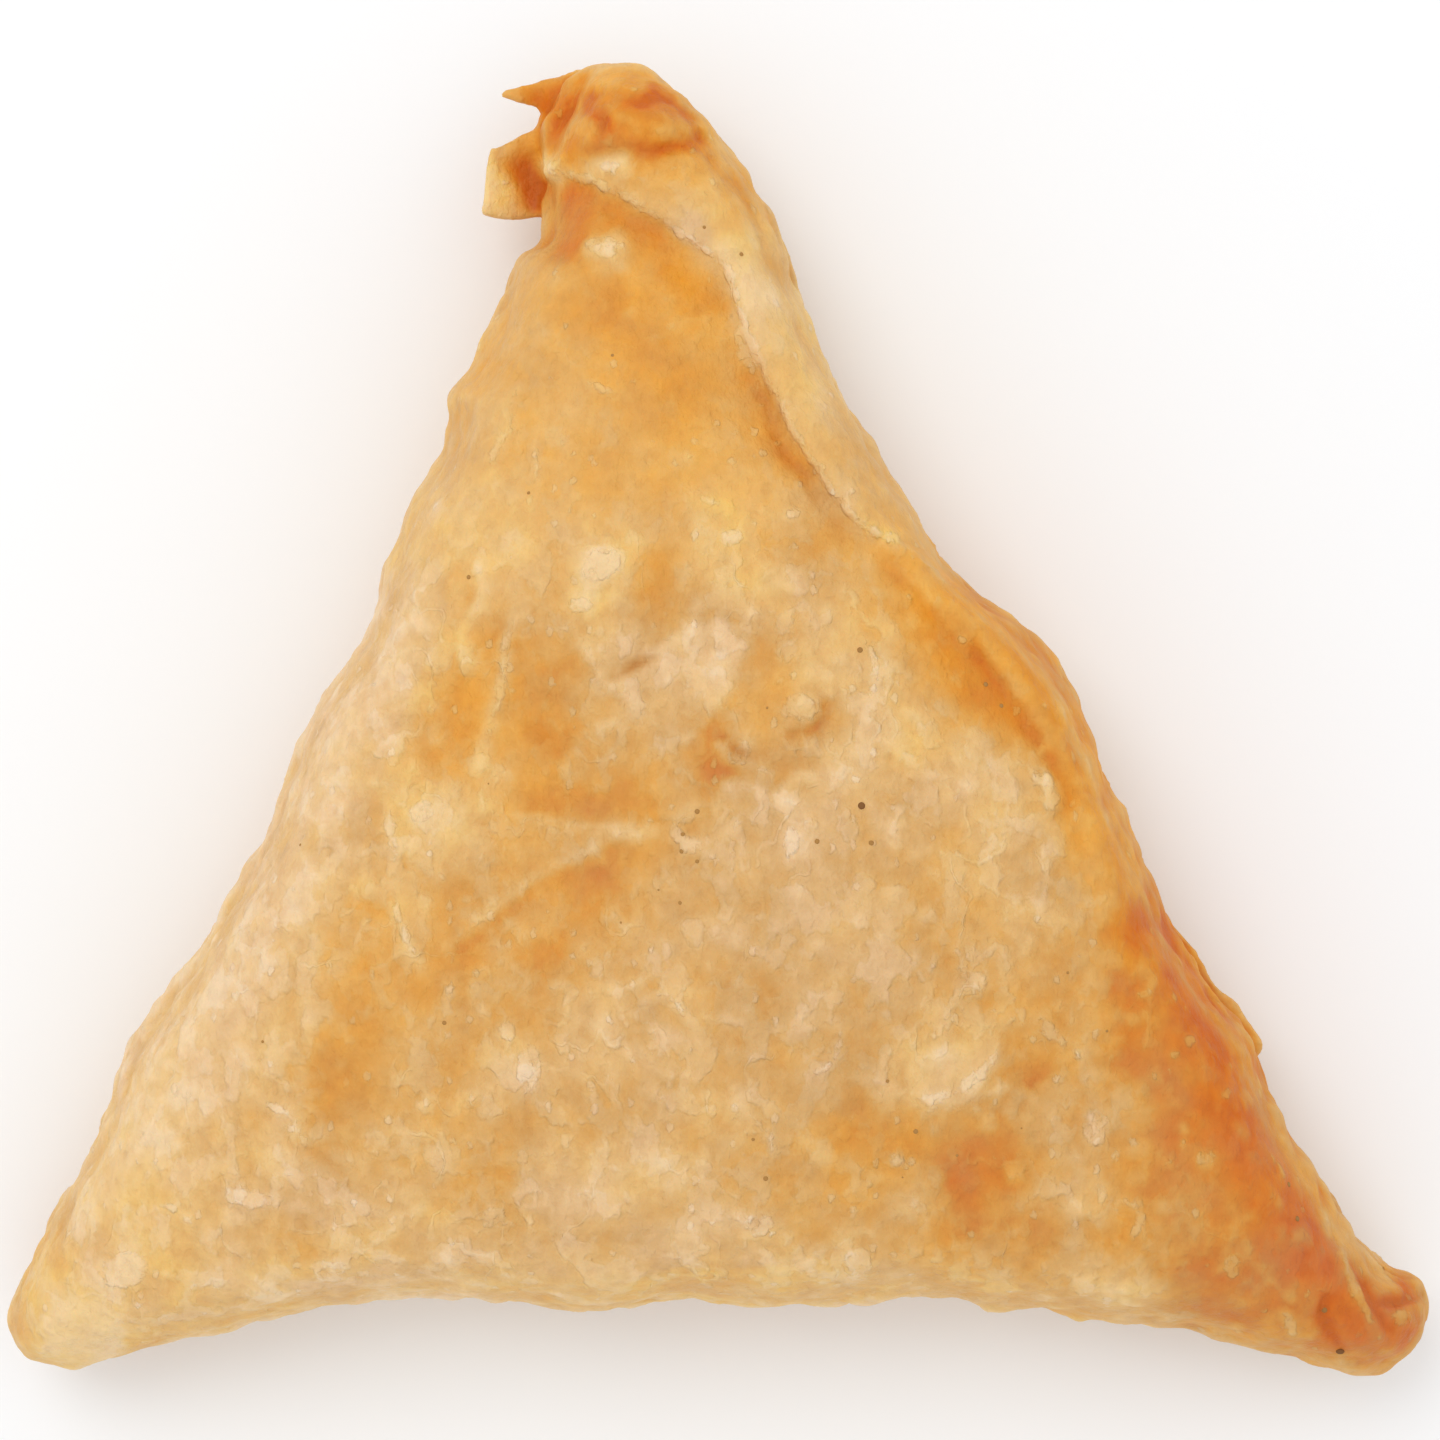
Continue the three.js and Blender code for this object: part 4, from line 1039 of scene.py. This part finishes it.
        # Masks for painted light: a highlight on the lip, and shade in the crease just off the flap.
        self.lip = self.top * bump(self.fold - 0.35, 0.6)
        self.flap_edge_shade = self.top * bump(self.fold + 0.4, 0.7) * (1 - on_flap)
        return self.top * lip * on_flap

    def rim_relief(self):
        """The edge waves in and out, and the layers folded into it show as fine, broken seams."""
        near_rim = bump(self.inward, 1.5)
        waves = noises(self.places, EDGE_WAVES)
        level = self.places[:, 2] - self.parcel.edge(self.plan)
        self.seam = np.zeros(len(level))
        for height, seed in SEAMS:
            wander = noises(self.places, [(0.5, 11, seed), (0.15, 3, seed)])
            broken = smooth_step(-0.2, 0.25, noise_at(self.places, 8, seed + 5))
            self.seam += self.side * bump(level - height + wander, SEAM_WIDTH) * broken
        return self.scallop * near_rim * waves - SEAM_DEPTH * self.seam

    def marks(self, weights):
        """Some of the masks added up. A weight is (amount, the name of the mask)."""
        return sum(amount * getattr(self, name) for amount, name in weights)

    def add_browning(self):
        """Float attributes that the pastry's material reads."""
        seen = self.spread * self.plan
        on_top = np.maximum(self.top, 0.9 * self.side)
        loose = warped(self.places, BROWNING_WARPS)
        drawn = self.spread * loose[:, :2]
        browned, paler = [run_field(drawn, runs, patch) for runs in (BROWNED, PALER)]
        brown = PLAIN_BROWNING + (browned - paler) * on_top
        mosaic = sum(amount * (cells_at(loose, *cells)[2] - 0.5) for amount, *cells in MOSAIC)
        calm = 1 - BROWN_CALM * smooth_step(0.50, 0.66, brown)
        brown += calm * (noises(self.places, DRIFT) + self.busy * mosaic)
        # Painted shade: the colour is made browner in hollows, less so beside the flap's free edge.
        off_fold = 1 - 0.8 * bump(self.fold, 2.2)
        broad, fine = [self.hollowness(rounds) for rounds in (BROAD_ROUNDS, FINE_ROUNDS)]
        brown += BROAD_HOLLOW_SHADE * off_fold * np.clip(broad, -0.25, 0.3)
        brown += FINE_HOLLOW_SHADE * off_fold * np.clip(fine, -0.1, 0.12)
        # Painted highlight on the lip, and partly on blister tops.
        brown -= self.marks(PALE_AND_LIT_MARKS)
        # The browner marks include painted shade beside the flap's free edge.
        brown += self.marks(BROWN_MARKS)
        # Painted light: the rim's outermost half millimetre is made paler, except underneath.
        brown -= 0.06 * bump(self.inward, 0.5) * (1 - self.under)
        resting = UNDER_BROWNING * self.under + CONTACT_BROWNING * (1 - self.free)
        brown += resting + self.top * self.bared
        mottle = noises(self.places, UNDER_MOTTLE) + noises(loose, FINE_UNDER_MOTTLE)
        brown += self.under * mottle
        pink = PLAIN_PINKNESS + run_field(seen, TINTED, patch) * on_top
        pink += noises(self.places, PINK_DRIFT)
        dark = self.marks(DARK_MARKS)
        # Painted shade: hollows also take the darker joint colour.
        dark += 0.8 * off_fold * np.clip(fine - 0.04, 0, 0.2)
        x, y, reach = APEX
        apex = bump(np.hypot(seen[:, 0] - x, seen[:, 1] - y), reach)
        shown = 1 - 0.6 * smooth_step(0.42, 0.62, brown) - 0.35 * smooth_step(-0.32, -0.14, -brown)
        flaky = self.busy * shown + 0.5 * apex
        flaky *= 1 - 0.5 * self.side
        made = {
            "browning": brown,
            "pinkness": pink,
            "joints_and_shade": dark,
            "flakiness": flaky,
            "raised": np.maximum(self.raised, 0.9 * self.lip),
        }
        for name, values in made.items():
            least = YELLOWEST if name == "pinkness" else 0
            values = np.clip(blurred(values, self.ends, self.count, 1), least, 1)
            attribute = self.mesh.attributes.new(name, "FLOAT", "POINT")
            attribute.data.foreach_set("value", values.astype(np.float32))

    def hollowness(self, rounds):
        """How far each vertex lies under the surface smoothed over its surroundings."""
        places = places_of(self.mesh)
        axes = [blurred(places[:, axis], self.ends, self.count, rounds) for axis in range(3)]
        return ((np.column_stack(axes) - places) * normals_of(self.mesh)).sum(1)


def set_down(mesh):
    """Turns the finished mesh into metres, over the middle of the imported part's footprint."""
    low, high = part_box(NODE)
    places = places_of(mesh)
    centre = (places.min(0) + places.max(0)) / 2
    shift = np.array([-centre[0], -centre[1], -places[:, 2].min()])
    target = np.array([(low.x + high.x) / 2, (low.y + high.y) / 2, low.z])
    set_places(mesh, (places + shift) * MM + target)


# ---- Materials ----


def linear(colour):
    """An sRGB hex colour as a linear RGBA one."""
    channels = [int(colour[i : i + 2], 16) / 255 for i in (1, 3, 5)]
    return [c / 12.92 if c <= 0.04045 else ((c + 0.055) / 1.055) ** 2.4 for c in channels] + [1]


def add_node(tree, kind, settings=None, inputs=None):
    """Adds a node with its settings, and its inputs as values or as sockets to link from."""
    node = tree.nodes.new(kind)
    for name, value in (settings or {}).items():
        setattr(node, name, value)
    for name, value in (inputs or {}).items():
        if isinstance(value, bpy.types.NodeSocket):
            tree.links.new(value, node.inputs[name])
        else:
            node.inputs[name].default_value = value
    return node


def new_material(name):
    material = bpy.data.materials.new(name)
    material.use_nodes = True
    material.node_tree.nodes.clear()
    return material, material.node_tree


def finish_material(tree, settings):
    surface = add_node(tree, "ShaderNodeBsdfPrincipled", inputs=settings)
    add_node(tree, "ShaderNodeOutputMaterial", inputs={"Surface": surface.outputs["BSDF"]})


def mixed(tree, factor, first, second, settings=None):
    """A colour between two others, or beyond them where the factor is."""
    settings = {"data_type": "RGBA", **(settings or {})}
    inputs = {"Factor": factor, "A": first, "B": second}
    return add_node(tree, "ShaderNodeMix", settings, inputs).outputs["Result"]


def colour_scale(tree, factor, colours):
    """A ramp through evenly spaced sRGB colours."""
    node = add_node(tree, "ShaderNodeValToRGB", inputs={"Fac": factor})
    stops = node.color_ramp.elements
    for number, colour in enumerate(colours):
        position = number / (len(colours) - 1)
        stop = stops[number] if number < 2 else stops.new(position)
        stop.position = position
        stop.color = linear(colour)
    return node.outputs["Color"]


# From barely coloured dough to the darkest browning, for the yellow and for the pink parts.
YELLOW_CRUST = [
    "#ECCA92",
    "#E9C380",
    "#E6BA6E",
    "#E2B066",
    "#E0A754",
    "#DD9B41",
    "#D78A2C",
    "#D57B1E",
    "#CC6406",
]
PINK_CRUST = [
    "#EACBA1",
    "#E4BE8C",
    "#DCB37E",
    "#D5AA70",
    "#D1A161",
    "#CD934B",
    "#C87D3C",
    "#CC6F2F",
    "#C45B1A",
]
# The darker colour of grooves and seams, also painted into hollows as shade.
JOINT_AND_SHADE_COLOUR = "#AE642A"
LIGHTEST_SPECK = "#AC8048"

# The sizes of what the skin shows between its folds, in mm.
FLAKE = 2.6
BUBBLE = 1.15
SMALL_FLAKE = 0.85
CURL = 3.1
CURL_ZONE = 4.5
GLINT = 1.35
GRAIN = 0.75  # drawn a little coarser than the crust's real grain so that it shows
BUMP_HEIGHT = 0.17
GRAIN_TONE_AND_SHADE = 0.21  # how much brighter the brightest grain is than the dullest: partly the crust's own tone, partly painted light and shade of its fine relief
DRAWN_OUT = (1.0, 0.75, 1.0)  # the dough was rolled out towards the tip, and its flakes run that way

# From what level of its noise each kind of mark shows, and from what level it is full.
FLAKES = (0.465, 0.505)
HOLLOWS = (0.41, 0.36)
SMALL_FLAKES = (0.54, 0.62)
SMALL_HOLLOWS = (0.44, 0.37)
CURL_LINES = (0.012, 0.030, 1.0, 0.0)  # full, then none
CURL_PLACES = (0.54, 0.58)
GLINTS = (0.14, 0.22, 1.0, 0.0)
GLINT_SHARE = (0.66, 0.70)
RAISED = (0.90, 1.10)


def fried_pastry_material(settings):
    """Fried wheat dough: dull where it is dry, with a faint shine of oil, and browned unevenly.

    Pale flakes of the outermost skin and thin curled-up wrinkles lie over it, with painted
    highlights on the wrinkles, on small glints and on crests, and painted shade in hollows.
    """
    material, tree = new_material("fried wheat pastry, blistered in oil")
    straight = add_node(tree, "ShaderNodeTexCoord").outputs["Object"]
    drawn_out = add_node(
        tree, "ShaderNodeVectorMath", {"operation": "MULTIPLY"}, {0: straight, 1: DRAWN_OUT}
    )
    where = drawn_out.outputs["Vector"]

    def measured(name):
        node = add_node(tree, "ShaderNodeAttribute", {"attribute_name": name})
        return node.outputs["Fac"]

    def texture(place, size, detail):
        inputs = {"Vector": place, "Scale": 1 / (size * MM), "Detail": detail, "Roughness": 0.55}
        return add_node(tree, "ShaderNodeTexNoise", inputs=inputs)

    def bent(size, amount):
        push = texture(where, size, 2).outputs["Color"]
        reach = (amount * MM, amount * MM, amount * MM)
        inputs = {0: push, 1: reach, 2: where}
        node = add_node(tree, "ShaderNodeVectorMath", {"operation": "MULTIPLY_ADD"}, inputs)
        return node.outputs["Vector"]

    def stepped(value, low, high, start=0.0, end=1.0):
        inputs = {"Value": value, "From Min": low, "From Max": high, "To Min": start, "To Max": end}
        return add_node(tree, "ShaderNodeMapRange", inputs=inputs).outputs["Result"]

    def worked(operation, first, second=0.0):
        node = add_node(tree, "ShaderNodeMath", {"operation": operation}, {0: first, 1: second})
        return node.outputs["Value"]

    def weighed_sum(terms):
        total = terms[0]
        for value, weight in terms[1:]:
            total = worked("ADD", total, worked("MULTIPLY", value, weight))
        return total

    def cells(place, size):
        inputs = {"Vector": place, "Scale": 1 / (size * MM)}
        node = add_node(tree, "ShaderNodeTexVoronoi", inputs=inputs)
        luck = add_node(tree, "ShaderNodeSeparateColor", inputs={"Color": node.outputs["Color"]})
        return node.outputs["Distance"], luck.outputs["Red"]

    # Where a flake lies is noise, and the bubbles under it scallop its edge.
    bubble, bubble_luck = cells(bent(0.7, 0.7), BUBBLE)
    flake_noise = texture(bent(1.1, 1.4), FLAKE, 2).outputs["Fac"]
    flake_field = weighed_sum([flake_noise, (bubble, -0.13)])
    flakes = stepped(flake_field, *FLAKES)
    hollows = stepped(flake_field, *HOLLOWS)
    small_noise = texture(bent(0.5, 0.7), SMALL_FLAKE, 2).outputs["Fac"]
    small_flakes = stepped(small_noise, *SMALL_FLAKES)
    small_hollows = stepped(small_noise, *SMALL_HOLLOWS)
    # Curled-up wrinkles: raised in the bump, and made paler as a painted highlight.
    curl_noise = texture(bent(1.4, 1.2), CURL, 1).outputs["Fac"]
    curl_line = stepped(worked("ABSOLUTE", worked("SUBTRACT", curl_noise, 0.5)), *CURL_LINES)
    curl_zone = stepped(texture(where, CURL_ZONE, 1).outputs["Fac"], *CURL_PLACES)
    flaky = measured("flakiness")
    curls = worked("MULTIPLY", worked("MULTIPLY", curl_line, curl_zone), flaky)
    # Painted highlights: small scattered spots made paler and pinker, each on a small bump.
    glint_distance, glint_luck = cells(bent(0.4, 0.5), GLINT)
    glint_bumps = worked("MULTIPLY", stepped(glint_distance, *GLINTS), stepped(glint_luck, *GLINT_SHARE))
    # Painted highlight: crests, blister tops and the lip are made paler and pinker.
    edge = weighed_sum([measured("raised"), (small_noise, 0.8), (bubble, -0.3)])
    raised = stepped(edge, *RAISED)
    grain = texture(where, GRAIN, 2).outputs["Fac"]

    mottle = weighed_sum(
        [
            worked("MULTIPLY", flakes, -0.13),
            (hollows, 0.04),
            (small_flakes, -0.04),
            (small_hollows, 0.02),
            (worked("SUBTRACT", bubble_luck, 0.5), 0.05),
        ]
    )
    marks = [(mottle, flaky), (curls, -0.10), (glint_bumps, -0.18), (raised, -0.14)]
    level = weighed_sum([measured("browning")] + marks)
    tint = weighed_sum([measured("pinkness"), (flakes, 0.15), (glint_bumps, 0.20), (raised, 0.20)])
    # Grooves and seams, and painted shade in the hollows between flakes, drawn towards the joint colour.
    shade = weighed_sum([measured("joints_and_shade"), (small_hollows, 0.06), (hollows, 0.04)])
    yellow = colour_scale(tree, level, YELLOW_CRUST)
    pink = colour_scale(tree, level, PINK_CRUST)
    beyond = {"clamp_factor": False, "clamp_result": True}
    crust = mixed(tree, tint, yellow, pink, beyond)
    folds = mixed(tree, shade, crust, linear(JOINT_AND_SHADE_COLOUR))
    # Brightness grain: partly the crust's own tone, partly painted light and shade of its fine relief.
    uneven = weighed_sum([1 - 0.5 * GRAIN_TONE_AND_SHADE, (grain, GRAIN_TONE_AND_SHADE)])
    scaled = {0: folds, "Scale": uneven}
    shown = add_node(tree, "ShaderNodeVectorMath", {"operation": "SCALE"}, scaled)
    height = weighed_sum(
        [
            worked("MULTIPLY", grain, 0.30),
            (worked("MULTIPLY", flaky, stepped(flake_field, 0.44, 0.53)), 0.60),
            (bubble, -0.80),
            (small_noise, 1.60),
            (curls, 0.35),
            (glint_bumps, 0.45),
            (raised, 0.50),
        ]
    )
    bump = add_node(
        tree,
        "ShaderNodeBump",
        inputs={"Height": height, "Strength": 0.85, "Distance": BUMP_HEIGHT * MM},
    )
    rough = stepped(grain, 0.3, 0.7, settings.roughness - 0.08, settings.roughness + 0.10)
    finish_material(
        tree,
        {
            "Base Color": shown.outputs["Vector"],
            "Roughness": rough,
            "IOR": 1.36,
            "Specular IOR Level": 0.38,
            "Subsurface Weight": 0.12,
            "Subsurface Radius": (1.0, 0.55, 0.25),
            "Subsurface Scale": 0.9 * MM,
            "Normal": bump.outputs["Normal"],
        },
    )
    return material


def toasted_speck_material(settings):
    """Specks of flour and crumb that toasted dark: dry and matt, and darker the larger they are."""
    material, tree = new_material("toasted crumb, fried dark")
    toasting = add_node(tree, "ShaderNodeAttribute", {"attribute_name": "toasting"})
    darkest = [*settings.speck_colour, 1]
    colour = mixed(tree, toasting.outputs["Fac"], linear(LIGHTEST_SPECK), darkest)
    finish_material(tree, {"Base Color": colour, "Roughness": 0.8, "Specular IOR Level": 0.1})
    return material


def table_material(settings):
    """A matt white laminate table top: almost no sheen, and very slightly uneven in tone."""
    material, tree = new_material("matt white laminate")
    where = add_node(tree, "ShaderNodeTexCoord").outputs["Object"]
    cloud = add_node(tree, "ShaderNodeTexNoise", inputs={"Vector": where, "Scale": 30})
    plain = [*settings.floor_colour, 1]
    lighter = [min(1, c * 1.01) for c in settings.floor_colour] + [1]
    colour = mixed(tree, cloud.outputs["Fac"], plain, lighter)
    finish_material(tree, {"Base Color": colour, "Roughness": 0.9})
    return material


# ---- Pieces ----


def piece(name, mesh, material):
    """A finished mesh as a piece that rides on the samosa's body."""
    made = put(name, mesh)
    mesh.materials.append(material)
    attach(made, BODY)
    return made


class SAMOSA_OT_pastry(bpy.types.Operator):
    """Make the samosa's fried pastry"""

    bl_idname = "samosa.pastry"
    bl_label = "Fried Pastry"

    def execute(self, context):
        form = context.scene.samosa_form
        settings = context.scene.samosa_skin
        noise.seed_set(WARP_SEED)
        parcel = Parcel(form)
        blanks = joined([body_blank(parcel)] + layer_blanks(parcel))
        mesh = thinned(softened(fused(blanks, form.mesh_cell / MM), SMOOTHING_ROUNDS), parcel)
        skin = Skin(mesh, parcel, settings)
        skin.raise_filling()
        skin.add_relief()
        skin.add_browning()
        set_down(mesh)
        mesh.shade_smooth()
        mesh.name = "pastry"
        pastry = piece("pastry", mesh, fried_pastry_material(settings))
        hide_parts(NODE)
        return {"FINISHED"}


SPECK_SEED = 7
SPECK_RADII = (0.07, 0.15)  # mm
SPECK_SHARE = 0.85  # how much of its radius in the table a speck has
SPECK_MIDDLE = -18  # the scattered ones: their middle and spread along Y, and their reach along X
SPECK_SPREAD = 16
SPECK_REACH = 46
STEEPEST_SPECK = 0.3  # how far up its face has to look
SPECK_FLATNESS = 0.4
TOASTED_RADII = (0.16, 0.28)  # mm, the specks that are lightest and darkest
SPECK_MARGIN = 2.0  # mm, nearest that a scattered speck comes to the edge


def speck_places(count):
    """Specks in known places, then scattered ones that keep off the edge."""
    draw = random.Random(SPECK_SEED)
    places = list(SPECKS)
    while len(places) < len(SPECKS) + count:
        x = draw.uniform(-SPECK_REACH, SPECK_REACH)
        y = draw.gauss(SPECK_MIDDLE, SPECK_SPREAD)
        radius = draw.uniform(*SPECK_RADII)
        plan = np.array([[x, y]])
        left = inside_side(LEFT_SIDE[0], LEFT_SIDE[-1], plan)[0]
        right = inside_side(RIGHT_LOBE[-1], RIGHT_SIDE[-1], plan)[0]
        if min(left, right, y - BASE_LINE) > SPECK_MARGIN + SIDE_OFFSET:
            places.append((x, y, radius))
    return places


class SAMOSA_OT_specks(bpy.types.Operator):
    """Make the toasted specks that lie in the pastry"""

    bl_idname = "samosa.specks"
    bl_label = "Toasted Specks"

    def execute(self, context):
        settings = context.scene.samosa_skin
        pastry = bpy.data.objects["pastry"]
        depth = pastry.evaluated_get(context.evaluated_depsgraph_get())
        high = pastry.bound_box[1][2] + 0.01
        bm = bmesh.new()
        toasting = bm.verts.layers.float.new("toasting")
        for x, y, radius in speck_places(settings.speck_count):
            radius *= SPECK_SHARE
            share = 1
            for _ in range(3):
                start = (x * MM / share, y * MM / share, high)
                hit, place, normal, _ = depth.ray_cast(start, (0, 0, -1))
                share = spread(place.z / MM) if hit else share
            if not hit or normal.z < STEEPEST_SPECK:
                continue
            turn = normal.to_track_quat("Z", "Y").to_matrix().to_4x4()
            flat = Matrix.Diagonal((radius * MM, radius * MM, SPECK_FLATNESS * radius * MM, 1))
            made = bmesh.ops.create_icosphere(
                bm, subdivisions=2, radius=1, matrix=Matrix.Translation(place) @ turn @ flat
            )
            for vert in made["verts"]:
                vert[toasting] = smooth_step(*TOASTED_RADII, radius)
        mesh = mesh_of(bm, "specks")
        mesh.shade_smooth()
        piece("toasted_specks", mesh, toasted_speck_material(settings))
        return {"FINISHED"}


TABLE_SIZE = 4.0
TABLE_GAP = 0.05 * MM
LENS = 110.0
SENSOR = 36.0
KEY_PLACE = (-0.26, 0.34, 0.74)
KEY_SIZE = 0.50


class SAMOSA_OT_stage(bpy.types.Operator):
    """Make the table, the light and the camera"""

    bl_idname = "samosa.stage"
    bl_label = "Table, Light and Camera"

    def execute(self, context):
        settings = context.scene.samosa_stage
        scene = context.scene
        bm = bmesh.new()
        under = Matrix.Translation((0, 0, -TABLE_GAP))
        bmesh.ops.create_grid(bm, x_segments=1, y_segments=1, size=TABLE_SIZE / 2, matrix=under)
        mesh = mesh_of(bm, "table")
        mesh.materials.append(table_material(settings))
        put("table", mesh)

        key = bpy.data.lights.new("key", "AREA")
        key.shape = "DISK"
        key.size = KEY_SIZE
        key.energy = settings.key_power
        lamp = put("key", key)
        lamp.location = KEY_PLACE
        lamp.rotation_euler = Vector(KEY_PLACE).to_track_quat("Z", "Y").to_euler()

        world = bpy.data.worlds.new("even light")
        world.use_nodes = True
        background = world.node_tree.nodes["Background"]
        background.inputs["Color"].default_value = (1, 1, 1, 1)
        background.inputs["Strength"].default_value = settings.fill_strength
        scene.world = world
        scene.view_settings.view_transform = "Standard"

        lens = bpy.data.cameras.new("camera")
        lens.lens = LENS
        lens.sensor_width = SENSOR
        lens.clip_start = 0.01
        scene.camera = put("camera", lens)
        scene.camera.location = (0, 0, settings.camera_height)
        return {"FINISHED"}


class SAMOSA_PT_panel(bpy.types.Panel):
    """The samosa's steps, in the order that they are made"""

    bl_idname = "SAMOSA_PT_panel"
    bl_label = "Fried Samosa"
    bl_space_type = "VIEW_3D"
    bl_region_type = "UI"
    bl_category = "Samosa"

    def draw(self, context):
        scene = context.scene
        for settings in (scene.samosa_form, scene.samosa_skin, scene.samosa_stage):
            box = self.layout.box()
            for name in settings.__annotations__:
                box.prop(settings, name)
        for step in STEPS:
            self.layout.operator(step.bl_idname)


STEPS = (SAMOSA_OT_stage, SAMOSA_OT_pastry, SAMOSA_OT_specks)
SETTINGS = (
    ("samosa_form", SamosaForm),
    ("samosa_skin", SamosaSkin),
    ("samosa_stage", SamosaStage),
)


def register():
    for name, group in SETTINGS:
        bpy.utils.register_class(group)
        setattr(bpy.types.Scene, name, PointerProperty(type=group))
    for made in STEPS + (SAMOSA_PT_panel,):
        bpy.utils.register_class(made)


def unregister():
    for made in reversed(STEPS + (SAMOSA_PT_panel,)):
        bpy.utils.unregister_class(made)
    for name, group in reversed(SETTINGS):
        delattr(bpy.types.Scene, name)
        bpy.utils.unregister_class(group)


def main():
    register()
    bpy.ops.samosa.stage()
    bpy.ops.samosa.pastry()
    bpy.ops.samosa.specks()


if __name__ == "__main__":
    main()
